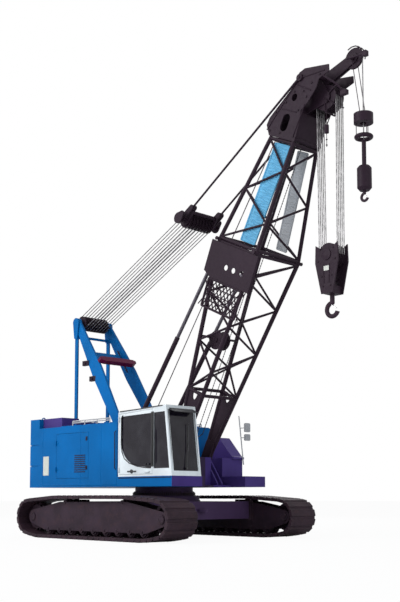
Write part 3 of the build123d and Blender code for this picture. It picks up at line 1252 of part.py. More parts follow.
EYE_X, EYE_Z = boom_to_world(*BACKSTOP_EYE)
BACKSTOP_ANGLE = math.degrees(math.atan2(EYE_Z - BACKSTOP_FOOT[1], EYE_X - BACKSTOP_FOOT[0]))
BACKSTOP_LENGTH = math.hypot(EYE_Z - BACKSTOP_FOOT[1], EYE_X - BACKSTOP_FOOT[0])
BACKSTOP_FRAME = Pos(BACKSTOP_FOOT[0], 0, BACKSTOP_FOOT[1]) * Rot(0, -BACKSTOP_ANGLE, 0)


def backstop_tubes():
    """Outer tubes with their foot eyes."""
    tubes = []
    for side in (-1, 1):
        y = side * BACKSTOP_HALF
        body = rod((130, y, 0), (BACKSTOP_TUBE, y, 0), BACKSTOP_TUBE_R)
        neck = belt((0, 0, BACKSTOP_PIN_R * 1.8), (150, 0, BACKSTOP_TUBE_R * 0.8))
        eye = slab(neck, y - BACKSTOP_EYE_WIDTH / 2, y + BACKSTOP_EYE_WIDTH / 2)
        bore = rod((200, y, 0), (BACKSTOP_TUBE + 10, y, 0), BACKSTOP_ROD_R + SEAT)
        hole = pin(0, 0, BACKSTOP_PIN_R + SEAT, y - BACKSTOP_EYE_WIDTH, y + BACKSTOP_EYE_WIDTH)
        tubes.append(BACKSTOP_FRAME * (fused([body, eye]) - bore - hole))
    return tubes


def backstop_rods():
    """Sliding rods with the eyes beside the boom's lugs."""
    rods = []
    for side in (-1, 1):
        y = side * BACKSTOP_HALF
        body = rod((BACKSTOP_TUBE / 2, y, 0), (BACKSTOP_LENGTH, y, 0), BACKSTOP_ROD_R)
        eye = pin(BACKSTOP_LENGTH, 0, BACKSTOP_PIN_R * 2, y - BACKSTOP_EYE_WIDTH / 2, y + BACKSTOP_EYE_WIDTH / 2)
        rods.append(BACKSTOP_FRAME * fused([body, eye]))
    return rods


def build():
    os.makedirs("parts", exist_ok=True)
    sides = (-TRACK_Y, TRACK_Y)
    save("carbody", [fused([carbody(), tow_eye()])])
    save("track_right", [track(-TRACK_Y)])
    save("track_left", [track(TRACK_Y)])
    save("track_frame_right", [track_frame(-TRACK_Y)])
    save("track_frame_left", [track_frame(TRACK_Y)])
    save("idlers", [end_wheel(END_X, y) for y in sides])
    save("drive_tumblers", [tumbler(-END_X, y) for y in sides])
    save("track_rollers", [roller(x, ROLLER_Z, ROLLER_R, y) for y in sides for x in roller_places()])
    save("carrier_rollers", [
        roller(x, CARRIER_Z, CARRIER_R, y) for y in sides for x in (-CARRIER_REACH, CARRIER_REACH)])
    save("travel_drives", [travel_drive(y) for y in sides])
    save("slewing_ring_fixed", [ring(CARBODY_TOP, CARBODY_TOP + RING_HEIGHT, RING_R, RING_BORE_R)])
    save("slewing_ring_moving", [ring(CARBODY_TOP + RING_HEIGHT + SEAT, DECK_Z, RING_R - 40, RING_BORE_R)])

    save("rotating_frame", [rotating_frame()])
    save("house_right", [house(-1)])
    save("house_left", [house(1)])
    save("house_door_right", [house_door(-1)])
    save("house_door_left", [house_door(1)])
    save("engine", [engine()])
    save("rear_hood", [rear_hood()])
    save("counterweight", [counterweight()])
    drums = zip(DRUM_X, (DRUM_R, DRUM_R, REAR_DRUM_R), (DRUM_FLANGE_R, DRUM_FLANGE_R, REAR_FLANGE_R))
    save("winch_drums", [winch_drum(x, radius, flange) for x, radius, flange in drums])
    save("cab_shell", [cab_shell()])
    save("cab_door", [cab_door()])
    save("cab_door_glass", [pane(side_window(DOOR_REAR, DOOR_FRONT - DOOR_POST), -BODY_HALF)])
    save("cab_glass", cab_glass())
    save("sun_visor", [sun_visor()])
    save("seat", [seat()])
    save("console", [console()])
    save("front_deck", [front_deck()])
    save("mirror_mast", [mirror_mast()])

    save("boom_base", [boom_base()])
    save("boom_tip", [boom_tip()])
    save("boom_head", [boom_head()])
    head_shaft = cheek_half() + HEAD_PLATE
    save("head_sheaves", [sheave_stack(HEAD_X, HEAD_Z, HEAD_SHEAVE_R, FALL_SHEAVES, SHEAVE_PITCH, head_shaft)])
    save("main_fall_ropes", main_fall_ropes())
    save("hook_block", [hook_block()])
    block_shaft = cheek_half() + BLOCK_PLATE
    save("block_sheaves", [sheave_stack(HEAD_X, BLOCK_Z, BLOCK_SHEAVE_R, FALL_SHEAVES, SHEAVE_PITCH, block_shaft)])
    save("main_hook", [main_hook()])
    save("tip_sheave", [fused([sheave_stack(TIP_X, TIP_Z, TIP_SHEAVE_R, 1, 0, tip_shaft_half()), limit_weight()])])
    save("aux_fall_ropes", aux_fall_ropes())
    save("aux_weight", [aux_weight()])
    save("aux_hook", [aux_hook()])

    save("gantry_legs", [gantry_legs()])
    save("gantry_beam", [gantry_beam()])
    save("gantry_links", gantry_links())
    save("gantry_sheaves", [gantry_sheaves()])
    save("luffing_ropes", luffing_ropes())
    save("bridle_frame", [bridle_frame()])
    save("bridle_sheaves", [sheave_stack(
        *BRIDLE_AXIS, LUFF_SHEAVE_R, LUFF_SHEAVES, LUFF_SHEAVE_PITCH, bridle_edge())])
    save("pendants", pendants())
    save("backstop_tubes", backstop_tubes())
    save("backstop_rods", backstop_rods())


build()
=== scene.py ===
import math

import bmesh
import bpy
from mathutils import Matrix, Vector


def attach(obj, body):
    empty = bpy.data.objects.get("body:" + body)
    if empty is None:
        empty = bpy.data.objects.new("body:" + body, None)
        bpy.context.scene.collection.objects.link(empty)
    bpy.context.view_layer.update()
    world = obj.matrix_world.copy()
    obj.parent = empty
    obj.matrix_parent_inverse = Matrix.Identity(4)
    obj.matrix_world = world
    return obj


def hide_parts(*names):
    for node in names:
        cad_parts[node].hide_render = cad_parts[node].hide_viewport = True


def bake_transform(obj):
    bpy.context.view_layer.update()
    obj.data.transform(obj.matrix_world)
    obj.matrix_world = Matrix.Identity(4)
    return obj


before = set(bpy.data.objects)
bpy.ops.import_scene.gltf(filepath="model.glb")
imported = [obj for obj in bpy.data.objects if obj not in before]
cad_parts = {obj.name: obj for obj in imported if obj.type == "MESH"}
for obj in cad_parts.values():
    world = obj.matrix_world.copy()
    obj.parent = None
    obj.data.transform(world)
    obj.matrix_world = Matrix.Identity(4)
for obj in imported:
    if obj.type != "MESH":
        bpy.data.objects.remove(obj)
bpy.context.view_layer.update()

scene = bpy.context.scene
scene.view_settings.view_transform = "Standard"

# Places repeated from the CAD source, in metres
# The boom's own axes are s, up the boom, and t, towards its back.
FOOT = Vector((0.93, 0.0, 1.77))
BOOM_ANGLE = math.radians(64.5)
ALONG = Vector((math.cos(BOOM_ANGLE), 0.0, math.sin(BOOM_ANGLE)))
BACK = Vector((-math.sin(BOOM_ANGLE), 0.0, math.cos(BOOM_ANGLE)))
SPLICE_AT = 5.2
HEAD_AT = 7.65
HEAD_FACE = 0.43
ROPE_R = 0.013
DRUM_Z = 1.59
DRUM_HALF = 0.46
# X and radius of each winch drum, from the front
DRUMS = ((-0.34, 0.215), (-1.6, 0.215), (-2.35, 0.17))
HOUSE_SIDE = 1.55
ROOF = 2.7
CAB_SIDE = -1.55
DOOR_EDGE = 1.33
LINK_X = -2.88
TRACK_Y = 1.95


def on_boom(s, y, t):
    """World point from a place along the boom, across it and towards its back."""
    return FOOT + ALONG * s + BACK * t + Vector((0, y, 0))


# Camera

CAMERA_PLACE = (17.465, -15.681, 0.983)
CAMERA_HEADING = (-0.7187, 0.6953)
CAMERA_PITCH = math.radians(5.411)
LENS = 57.48
SENSOR_WIDTH = 36.0
SHIFT_Y = 0.173


def make_camera():
    """Stands where the photograph was taken, ahead of the machine on its right."""
    camera = bpy.data.cameras.new("camera")
    camera.lens = LENS
    camera.sensor_width = SENSOR_WIDTH
    camera.shift_y = SHIFT_Y
    camera.clip_end = 500
    holder = bpy.data.objects.new("camera", camera)
    holder.location = CAMERA_PLACE
    level = math.cos(CAMERA_PITCH)
    look = Vector((CAMERA_HEADING[0] * level, CAMERA_HEADING[1] * level, math.sin(CAMERA_PITCH)))
    holder.rotation_euler = look.to_track_quat("-Z", "Y").to_euler()
    scene.collection.objects.link(holder)
    scene.camera = holder


# Materials


def new_material(name):
    material = bpy.data.materials.new(name)
    material.use_nodes = True
    tree = material.node_tree
    return material, tree, tree.nodes["Principled BSDF"]


def feed(tree, socket, value):
    """Links a socket to another, or sets its constant."""
    if isinstance(value, bpy.types.NodeSocket):
        tree.links.new(value, socket)
    else:
        socket.default_value = value


def set_inputs(tree, node, inputs):
    for key, value in inputs.items():
        feed(tree, node.inputs[key], value)


def add_node(tree, kind, inputs=None, **settings):
    node = tree.nodes.new(kind)
    for key, value in settings.items():
        setattr(node, key, value)
    set_inputs(tree, node, inputs or {})
    return node


def noise(tree, coords, scale, detail=4.0, rough=0.55):
    node = add_node(tree, "ShaderNodeTexNoise",
                    {"Vector": coords, "Scale": scale, "Detail": detail, "Roughness": rough})
    return node.outputs["Fac"]


def spread(tree, value, low, high, out_low=0.0, out_high=1.0):
    """Maps a value from one range onto another, held at both ends."""
    node = add_node(tree, "ShaderNodeMapRange", {
        "Value": value, "From Min": low, "From Max": high, "To Min": out_low, "To Max": out_high})
    return node.outputs["Result"]


def blend_colour(tree, factor, first, second):
    """Mix of two colours, each a socket or three numbers."""
    first, second = ((*value, 1.0) if isinstance(value, tuple) else value for value in (first, second))
    node = add_node(tree, "ShaderNodeMix", data_type="RGBA")
    set_inputs(tree, node, {0: factor, 6: first, 7: second})
    return node.outputs[2]


def math_node(tree, operation, *values):
    return add_node(tree, "ShaderNodeMath", dict(enumerate(values)), operation=operation).outputs[0]


def object_coords(tree):
    return add_node(tree, "ShaderNodeTexCoord").outputs["Object"]


def edges(tree, radius):
    """1 on rounded edges and 0 on flats."""
    bevel = add_node(tree, "ShaderNodeBevel", {"Radius": radius}, samples=4)
    flat = add_node(tree, "ShaderNodeNewGeometry")
    product = add_node(tree, "ShaderNodeVectorMath", {0: bevel.outputs[0], 1: flat.outputs["Normal"]},
                       operation="DOT_PRODUCT")
    return spread(tree, product.outputs["Value"], 0.98, 0.8)


def add_relief(tree, shader, height, strength, distance, rounding=None):
    """Bump from a height, over edges that are rounded by a radius where one is given."""
    inputs = {"Height": height, "Strength": strength, "Distance": distance}
    if rounding:
        inputs["Normal"] = add_node(tree, "ShaderNodeBevel", {"Radius": rounding}, samples=4).outputs[0]
    feed(tree, shader.inputs["Normal"], add_node(tree, "ShaderNodeBump", inputs).outputs[0])


# X behind which the rotating frame is blue, and the Y between which its foot gets painted shade
FOOT_BEHIND = 0.36
FOOT_RIGHT = -0.63
FOOT_MIDDLE = 0.2
FOOT_LEFT = 2.0
# X ahead of which the frame's front faces lie, which get painted shade
PLATFORM_FACE = 1.972


def foot_shade_mask(tree, place, left):
    """1 ahead of the foot's rear edge, from its right side to the given Y, and 0 elsewhere. It marks where
    painted shade goes.
    """
    from_right = math_node(tree, "GREATER_THAN", place.outputs["Y"], FOOT_RIGHT)
    to_left = math_node(tree, "LESS_THAN", place.outputs["Y"], left)
    ahead = math_node(tree, "GREATER_THAN", place.outputs["X"], FOOT_BEHIND)
    return math_node(tree, "MULTIPLY", math_node(tree, "MULTIPLY", from_right, to_left), ahead)


def cloudy(tree, factor, colour):
    """A colour that drifts a little darker and lighter."""
    darker = tuple(c * 0.86 for c in colour)
    lighter = tuple(min(1.0, c * 1.1) for c in colour)
    return blend_colour(tree, spread(tree, factor, 0.35, 0.65), darker, lighter)


def painted(name, colour, roughness, wear=(0.3, 0.3, 0.31), wear_amount=0.35, bump=0.2, specular=0.12,
            coat=0.0, ahead=None):
    """Painted metal: cloudy tone, worn edges and fine orange-peel bump.

    ahead is a painted shade colour for the faces at the boom's foot and the front face of the cab's
    platform.
    The foot's right half gets a darker colour, partly painted shade and partly its black lugs.
    """
    material, tree, shader = new_material(name)
    coords = object_coords(tree)
    broad = noise(tree, coords, 0.9, 5)
    fine = noise(tree, coords, 14.0, 6)
    tone = cloudy(tree, broad, colour)
    # Painted shade: a shaded colour on the foot and the platform's front face, and a darker one on the
    # foot's right half
    if ahead:
        place = add_node(tree, "ShaderNodeSeparateXYZ", {"Vector": coords})
        face = math_node(tree, "GREATER_THAN", place.outputs["X"], PLATFORM_FACE)
        shade_area = math_node(tree, "MAXIMUM", foot_shade_mask(tree, place, FOOT_LEFT), face)
        tone = blend_colour(tree, shade_area, tone, cloudy(tree, broad, ahead))
        tone = blend_colour(tree, foot_shade_mask(tree, place, FOOT_MIDDLE), tone, cloudy(tree, broad, FOOT_LUGS_AND_SHADE))
    edge = math_node(tree, "MULTIPLY", edges(tree, 0.008), spread(tree, fine, 0.45, 0.62, 0.0, wear_amount))
    tone = blend_colour(tree, edge, tone, wear)
    rough = spread(tree, fine, 0.3, 0.7, max(0.05, roughness - 0.07), roughness + 0.1)
    set_inputs(tree, shader, {"Base Color": tone, "Roughness": rough, "Coat Weight": coat,
                              "Coat Roughness": 0.12, "Specular IOR Level": specular})
    peel = noise(tree, coords, 90.0, 2)
    dents = noise(tree, coords, 6.0, 2)
    relief = math_node(tree, "ADD", math_node(tree, "MULTIPLY", peel, 0.25), dents)
    add_relief(tree, shader, relief, bump, 0.002, 0.006)
    return material


def cast_steel(name, colour, rust=(0.12, 0.06, 0.045), polish=0.5):
    """Rough cast or forged steel with rust-brown soil in its hollows and polished edges."""
    material, tree, shader = new_material(name)
    coords = object_coords(tree)
    broad = noise(tree, coords, 2.2, 6)
    grain = noise(tree, coords, 55.0, 5, 0.65)
    soil = noise(tree, coords, 7.0, 8, 0.6)
    tone = blend_colour(tree, spread(tree, broad, 0.4, 0.62), colour, tuple(c * 1.5 for c in colour))
    tone = blend_colour(tree, spread(tree, soil, 0.5, 0.68, 0.0, 0.55), tone, rust)
    edge = math_node(tree, "MULTIPLY", edges(tree, 0.012), spread(tree, grain, 0.35, 0.6, 0.0, polish))
    tone = blend_colour(tree, edge, tone, (0.17, 0.16, 0.16))
    rough = spread(tree, grain, 0.3, 0.7, 0.42, 0.75)
    set_inputs(tree, shader, {"Base Color": tone, "Roughness": rough, "Specular IOR Level": 0.15})
    relief = math_node(tree, "ADD", grain, math_node(tree, "MULTIPLY", soil, 1.5))
    add_relief(tree, shader, relief, 0.45, 0.004, 0.01)
    return material


def wire_rope(name, colour):
    """Greased steel strands: dark between them, brighter on their crowns."""
    material, tree, shader = new_material(name)
    coords = object_coords(tree)
    grease = noise(tree, coords, 9.0, 4)
    wires = noise(tree, coords, 260.0, 2)
    tone = blend_colour(tree, spread(tree, grease, 0.42, 0.62), colour, tuple(c * 0.45 for c in colour))
    rough = spread(tree, grease, 0.3, 0.7, 0.3, 0.55)
    set_inputs(tree, shader, {"Base Color": tone, "Roughness": rough, "Metallic": 0.75})
    add_relief(tree, shader, wires, 0.5, 0.001)
    return material


def bright_metal(name, colour, roughness=0.2):
    """Ground or chromed rod with faint turning marks along its length."""
    material, tree, shader = new_material(name)
    coords = object_coords(tree)
    marks = noise(tree, coords, 120.0, 3)
    film = noise(tree, coords, 4.0, 5)
    tone = blend_colour(tree, spread(tree, film, 0.4, 0.7), colour, tuple(c * 0.7 for c in colour))
    rough = spread(tree, marks, 0.3, 0.7, roughness - 0.06, roughness + 0.12)
    set_inputs(tree, shader, {"Base Color": tone, "Roughness": rough, "Metallic": 1.0})
    add_relief(tree, shader, marks, 0.1, 0.001)
    return material


def glass(name, tint, alpha):
    """Tinted safety glass, with a film of dust that scatters a little light."""
    material, tree, shader = new_material(name)
    coords = object_coords(tree)
    film = noise(tree, coords, 3.0, 6)
    tone = blend_colour(tree, spread(tree, film, 0.45, 0.75, 0.0, 0.04), tint, (0.4, 0.42, 0.45))
    rough = spread(tree, film, 0.3, 0.7, 0.03, 0.1)
    cover = spread(tree, film, 0.3, 0.8, alpha, min(1.0, alpha + 0.12))
    set_inputs(tree, shader, {"Base Color": tone, "Roughness": rough, "Alpha": cover,
                              "Specular IOR Level": 0.3})
    add_relief(tree, shader, noise(tree, coords, 2.0, 1), 0.05, 0.01)
    return material


def moulded(name, colour, roughness=0.55, grain=220.0, strength=0.25):
    """Moulded plastic or rubber with a fine leather-like grain."""
    material, tree, shader = new_material(name)
    coords = object_coords(tree)
    cells = add_node(tree, "ShaderNodeTexVoronoi", {"Vector": coords, "Scale": grain}).outputs["Distance"]
    cloud = noise(tree, coords, 5.0, 4)
    paler = tuple(min(1, c * 1.35 + 0.01) for c in colour)
    tone = blend_colour(tree, spread(tree, cloud, 0.35, 0.7), colour, paler)
    rough = spread(tree, cloud, 0.3, 0.7, roughness - 0.08, roughness + 0.08)
    set_inputs(tree, shader, {"Base Color": tone, "Roughness": rough})
    add_relief(tree, shader, cells, strength, 0.001)
    return material


def cloth(name, colour):
    """Woven seat cloth with crossing threads."""
    material, tree, shader = new_material(name)
    coords = object_coords(tree)
    threads = {"Vector": coords, "Scale": 160.0, "Distortion": 0.4}
    warp, weft = (add_node(tree, "ShaderNodeTexWave", threads, bands_direction=way).outputs["Fac"]
                  for way in ("X", "Y"))
    weave = math_node(tree, "MAXIMUM", warp, weft)
    tone = blend_colour(tree, weave, tuple(c * 0.5 for c in colour), colour)
    set_inputs(tree, shader, {"Base Color": tone, "Roughness": 0.9, "Sheen Weight": 0.3})
    add_relief(tree, shader, weave, 0.4, 0.002)
    return material


BLUE = (0.001, 0.13, 0.4)
WORN_BLUE = (0.04, 0.22, 0.4)
# Painted shade: the blue paint as it looks in shade, used on the frame's foot and front face, the front deck
# and the rear hood
SHADE_PURPLE = (0.06, 0.036, 0.19)
# Darker colour on the foot's right half: partly its black lugs, partly painted shade
FOOT_LUGS_AND_SHADE = (0.036, 0.022, 0.06)

BLACK = painted("black_steel", (0.026, 0.014, 0.024), 0.5, wear=(0.1, 0.08, 0.08), wear_amount=0.4)
BLUE_PAINT = painted("blue_paint", BLUE, 0.34, WORN_BLUE, 0.3, bump=0.12, specular=0.06)
# Blue paint with painted shade on the boom's foot and on the platform's front face
FRAME_PAINT_AND_SHADE = painted("frame_paint_and_shade", BLUE, 0.36, WORN_BLUE, 0.3, bump=0.12, specular=0.06, ahead=SHADE_PURPLE)
WHITE_PAINT = painted("white_paint", (0.78, 0.84, 0.87), 0.25, (0.4, 0.42, 0.45), 0.3, bump=0.1, coat=0.1)
GREY_PAINT = painted("dark_grey_paint", (0.024, 0.02, 0.04), 0.45)
# Painted shade on the front deck and the rear hood
SHADE_PURPLE_PAINT = painted("shaded_blue_paint", SHADE_PURPLE, 0.42)
MAROON_PAINT = painted("maroon_paint", (0.11, 0.006, 0.04), 0.4)
LIGHT_BLUE = painted("light_blue_paint", (0.13, 0.42, 0.66), 0.4)
PALE_PLATE = painted("pale_plate", (0.66, 0.68, 0.62), 0.35)
PALE_GREY = painted("pale_grey_paint", (0.45, 0.46, 0.48), 0.4)
# Painted light: a dark purple made lighter to stand in for fill light on the shaded slewing ring and carbody
RING_PAINTED_FILL = painted("ring_painted_fill", (0.07, 0.04, 0.1), 0.5)
TRACK = cast_steel("track_steel", (0.026, 0.014, 0.021), rust=(0.05, 0.024, 0.03))
CASTING = cast_steel("cast_frame", (0.026, 0.015, 0.024), rust=(0.05, 0.025, 0.032), polish=0.3)
ENGINE = cast_steel("machine_grey", (0.12, 0.12, 0.125))
ROPE = wire_rope("rope", (0.3, 0.29, 0.3))
DARK_ROPE = wire_rope("dark_rope", (0.13, 0.12, 0.13))
BRIGHT = bright_metal("bright_steel", (0.6, 0.6, 0.62))
DARK_ROD = bright_metal("dark_rod", (0.11, 0.1, 0.12), 0.35)
GLASS = glass("glass", (0.009, 0.007, 0.014), 0.9)
RED_LENS = glass("red_lens", (0.5, 0.01, 0.01), 0.9)
CLOTH = cloth("seat_cloth", (0.06, 0.06, 0.07))
PLASTIC = moulded("plastic", (0.02, 0.02, 0.024))
RUBBER = moulded("rubber", (0.01, 0.01, 0.011), 0.7, 300.0, 0.15)

NODE_MATERIALS = {
    TRACK: ("track_right", "track_left"),
    CASTING: ("track_frame_right", "track_frame_left", "idlers", "drive_tumblers", "track_rollers",
              "carrier_rollers", "travel_drives", "main_hook", "aux_hook"),
    RING_PAINTED_FILL: ("slewing_ring_fixed", "slewing_ring_moving", "carbody"),
    GREY_PAINT: ("winch_drums",),
    FRAME_PAINT_AND_SHADE: ("rotating_frame",),
    BLUE_PAINT: ("house_right", "house_left", "house_door_right", "house_door_left",
                 "counterweight", "gantry_legs", "gantry_links"),
    SHADE_PURPLE_PAINT: ("front_deck", "rear_hood"),
    MAROON_PAINT: ("gantry_beam",),
    WHITE_PAINT: ("cab_shell", "cab_door"),
    GLASS: ("cab_glass", "cab_door_glass"),
    ROPE: ("luffing_ropes", "main_fall_ropes", "aux_fall_ropes"),
    DARK_ROD: ("backstop_rods",),
    PALE_GREY: ("mirror_mast",),
    PLASTIC: ("sun_visor", "console"),
    CLOTH: ("seat",),
    ENGINE: ("engine",),
    BLACK: ("boom_base", "boom_tip", "boom_head", "head_sheaves", "hook_block", "block_sheaves",
            "tip_sheave", "aux_weight", "gantry_sheaves", "bridle_frame", "bridle_sheaves", "pendants",
            "backstop_tubes"),
}


def dress_nodes():
    """Gives each CAD node its material."""
    for material, names in NODE_MATERIALS.items():
        for name in names:
            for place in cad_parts[name].material_slots:
                place.material = material


# Mesh code

BEVEL_ANGLE = 0.6
SHARP_ANGLE = 0.7
# Angles along half a turn, for lifting eyes
HALF_TURN = (0, 0.5, 1.05, 1.57, 2.1, 2.65, 3.14)


def add_box(bm, low, high, matrix=None):
    """Block between two corners."""
    corners = [Vector((x, y, z))
               for x in (low[0], high[0])
               for y in (low[1], high[1])
               for z in (low[2], high[2])]
    verts = [bm.verts.new(matrix @ c if matrix else c) for c in corners]
    for a, b, c, d in ((0, 1, 3, 2), (4, 6, 7, 5), (0, 4, 5, 1), (2, 3, 7, 6), (0, 2, 6, 4), (1, 5, 7, 3)):
        bm.faces.new((verts[a], verts[b], verts[c], verts[d]))


def ring_frame(direction):
    """Two directions square to a line."""
    side = direction.orthogonal().normalized()
    return side, direction.cross(side).normalized()


def add_rings(bm, rings, closed=False):
    """Skin over rings of points with equal counts."""
    made = [[bm.verts.new(p) for p in ring] for ring in rings]
    count = len(made[0])
    pairs = list(zip(made, made[1:] + made[:1])) if closed else list(zip(made, made[1:]))
    for first, second in pairs:
        for i in range(count):
            j = (i + 1) % count
            bm.faces.new((first[i], first[j], second[j], second[i]))
    if not closed:
        bm.faces.new(list(reversed(made[0])))
        bm.faces.new(made[-1])


def circle_ring(centre, side, up, radius, count):
    step = 2 * math.pi / count
    return [centre + side * (radius * math.cos(step * i)) + up * (radius * math.sin(step * i))
            for i in range(count)]


def add_rod(bm, start, end, radius, count=12):
    """Round bar with flat ends."""
    start, end = Vector(start), Vector(end)
    side, up = ring_frame((end - start).normalized())
    add_rings(bm, [circle_ring(start, side, up, radius, count),
                   circle_ring(end, side, up, radius, count)])


def add_lathe(bm, centre, axis, profile, count=16):
    """Turned form: profile lists (place along the axis, radius)."""
    centre, axis = Vector(centre), Vector(axis).normalized()
    side, up = ring_frame(axis)
    add_rings(bm, [circle_ring(centre + axis * along, side, up, max(radius, 0.0005), count)
                   for along, radius in profile])


def add_tube(bm, points, radius, count=8, closed=False):
    """Tube through points, with one twist-free frame carried along it."""
    points = [Vector(p) for p in points]
    total = len(points)
    rings = []
    side = None
    for i, point in enumerate(points):
        before = points[i - 1] if i or closed else point
        after = points[(i + 1) % total] if i < total - 1 or closed else point
        heading = (after - before).normalized()
        if side is None:
            side = heading.orthogonal().normalized()
        side = (side - heading * side.dot(heading)).normalized()
        rings.append(circle_ring(point, side, heading.cross(side), radius, count))
    add_rings(bm, rings, closed)


def add_plate(bm, points, thickness, matrix):
    """Flat plate: an outline in the matrix's XY plane, thick along its Z."""
    rings = [[matrix @ Vector((x, y, z)) for x, y in points] for z in (0.0, thickness)]
    add_rings(bm, rings)


def add_rope(bm, start, end, radius, lobes=6, lay=0.15, step=0.03):
    """Laid wire rope: a lobed section that turns as it runs."""
    start, end = Vector(start), Vector(end)
    run = end - start
    side, up = ring_frame(run.normalized())
    count = lobes * 2
    steps = max(2, round(run.length / step))
    rings = []
    for k in range(steps + 1):
        turn = 2 * math.pi * run.length * k / steps / lay
        centre = start + run * (k / steps)
        ring = []
        for i in range(count):
            angle = turn + 2 * math.pi * i / count
            reach = radius if i % 2 == 0 else radius * 0.78
            ring.append(centre + side * (reach * math.cos(angle)) + up * (reach * math.sin(angle)))
        rings.append(ring)
    add_rings(bm, rings)


def add_arch(bm, centre, across, up, radius):
    """Lifting eye: half a ring of round bar, given by its middle and its two half sizes as vectors."""
    add_tube(bm, [centre + across * math.cos(a) + up * math.sin(a) for a in HALF_TURN], radius)


def add_bolt(bm, place, normal, size=0.012, head=0.01):
    """Hexagon head on its washer, standing on a face."""
    place, normal = Vector(place), Vector(normal).normalized()
    add_rod(bm, place - normal * 0.002, place + normal * head * 0.25, size * 1.25, 12)
    add_rod(bm, place + normal * head * 0.25, place + normal * head, size, 6)


def piece(name, body, material, slot, make, bevel=0.0, replaced=()):
    """Object from a function that fills a bmesh. It rides on one CAD body; given two, it stays unattached
    where it is made.
    """
    bm = bmesh.new()
    make(bm)
    bmesh.ops.recalc_face_normals(bm, faces=bm.faces)
    mesh = bpy.data.meshes.new(name)
    bm.to_mesh(mesh)
    bm.free()
    mesh.materials.append(material)
    obj = bpy.data.objects.new(name, mesh)
    scene.collection.objects.link(obj)
    if bevel:
        rounding = obj.modifiers.new("bevel", "BEVEL")
        rounding.width = bevel
        rounding.segments = 2
        rounding.limit_method = "ANGLE"
        rounding.angle_limit = BEVEL_ANGLE
    mesh.shade_smooth()
    mesh.set_sharp_from_angle(angle=SHARP_ANGLE)
    if isinstance(body, str):
        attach(obj, body)
    else:
        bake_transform(obj)
    if replaced:
        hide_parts(*replaced)


# Studio

FLOOR_HALF = 150
FLOOR_GLOW = 0.94
FILL_COLOUR = (0.9, 0.94, 1.0, 1.0)
FILL_STRENGTH = 0.55
LAMP_TARGET = Vector((0.5, 0, 4))
# Name, place, size in metres and power in watts
LAMPS = (
    ("key", (-6.0, -22.0, 14.0), 14.0, 3700.0),
    ("front", (20.0, -4.0, 9.0), 9.0, 420.0),
    ("back", (-14.0, 14.0, 12.0), 10.0, 900.0),
)


def make_world():
    """White to the camera and in reflections, and a soft bluish fill for everything else."""
    world = bpy.data.worlds.new("studio")
    scene.world = world
    world.use_nodes = True
    tree = world.node_tree
    tree.nodes.clear()
    path = add_node(tree, "ShaderNodeLightPath")
    mirrored = math_node(tree, "MAXIMUM", path.outputs["Is Glossy Ray"], path.outputs["Is Transmission Ray"])
    seen = math_node(tree, "MAXIMUM", path.outputs["Is Camera Ray"], mirrored)
    fill = add_node(tree, "ShaderNodeBackground", {"Color": FILL_COLOUR, "Strength": FILL_STRENGTH})
    white = add_node(tree, "ShaderNodeBackground", {"Color": (1.0, 1.0, 1.0, 1.0), "Strength": 1.0})
    mixed = add_node(tree, "ShaderNodeMixShader", {0: seen, 1: fill.outputs[0], 2: white.outputs[0]})
    tree.links.new(mixed.outputs[0], add_node(tree, "ShaderNodeOutputWorld").inputs["Surface"])


def make_floor():
    """Pale floor that glows to the camera alone, so that it meets the white backdrop."""
    bm = bmesh.new()
    bmesh.ops.create_grid(bm, x_segments=4, y_segments=4, size=FLOOR_HALF)
    mesh = bpy.data.meshes.new("floor")
    bm.to_mesh(mesh)
    bm.free()
    floor = bpy.data.objects.new("floor", mesh)
    scene.collection.objects.link(floor)
    material, tree, shader = new_material("floor")
    cloud = noise(tree, object_coords(tree), 0.3, 3)
    tone = blend_colour(tree, cloud, (0.86, 0.86, 0.86), (0.9, 0.9, 0.9))
    set_inputs(tree, shader, {"Base Color": tone, "Roughness": 0.9})
    path = add_node(tree, "ShaderNodeLightPath")
    glow = add_node(tree, "ShaderNodeEmission", {"Color": (1, 1, 1, 1), "Strength": 1.0})
    share = math_node(tree, "MULTIPLY", path.outputs["Is Camera Ray"], FLOOR_GLOW)
    mixed = add_node(tree, "ShaderNodeMixShader", {0: share, 1: shader.outputs[0], 2: glow.outputs[0]})
    tree.links.new(mixed.outputs[0], tree.nodes["Material Output"].inputs["Surface"])
    mesh.materials.append(material)


def make_lamps():
    """Broad lamp on the machine's right, a weak one ahead and one behind."""
    for name, place, size, power in LAMPS:
        light = bpy.data.lights.new(name, "AREA")
        light.energy = power
        light.size = size
        lamp = bpy.data.objects.new(name, light)
        lamp.location = place
        lamp.rotation_euler = (LAMP_TARGET - Vector(place)).to_track_quat("-Z", "Y").to_euler()
        scene.collection.objects.link(lamp)


# Ropes

GANTRY = Vector((LINK_X, 0.0, 5.56))
BRIDLE = Vector((1.16, 0.0, 7.53))
LUFF = (BRIDLE - GANTRY).normalized()
LUFF_UP = Vector((-LUFF.z, 0.0, LUFF.x))
HEAD = on_boom(8.7, 0.0, -0.6)
BLOCK = HEAD - Vector((0, 0, 3.38))
TIP = on_boom(9.6, 0.0, -0.9)
AUX_DROP = 1.81
LUFF_SHEAVE = 0.19
HEAD_SHEAVE = 0.27
BLOCK_SHEAVE = 0.25
TIP_SHEAVE = 0.22
GROOVE = 0.028
ROPE_GAP = 0.0003


def rope_line(sheave_radius):
    """How far from a sheave's centre its rope's middle runs."""
    return sheave_radius - GROOVE + ROPE_R + ROPE_GAP


def rows(count, pitch):
    """Evenly spaced places on both sides of nought."""
    return [pitch * (i - (count - 1) / 2) for i in range(count)]


def luffing_ropes(bm):
    line = rope_line(LUFF_SHEAVE)
    for y in rows(8, 0.1):
        for side in (-1, 1):
            offset = Vector((0, y, 0)) + LUFF_UP * (side * line)
            add_rope(bm, GANTRY + offset, BRIDLE + offset, ROPE_R, step=0.04)


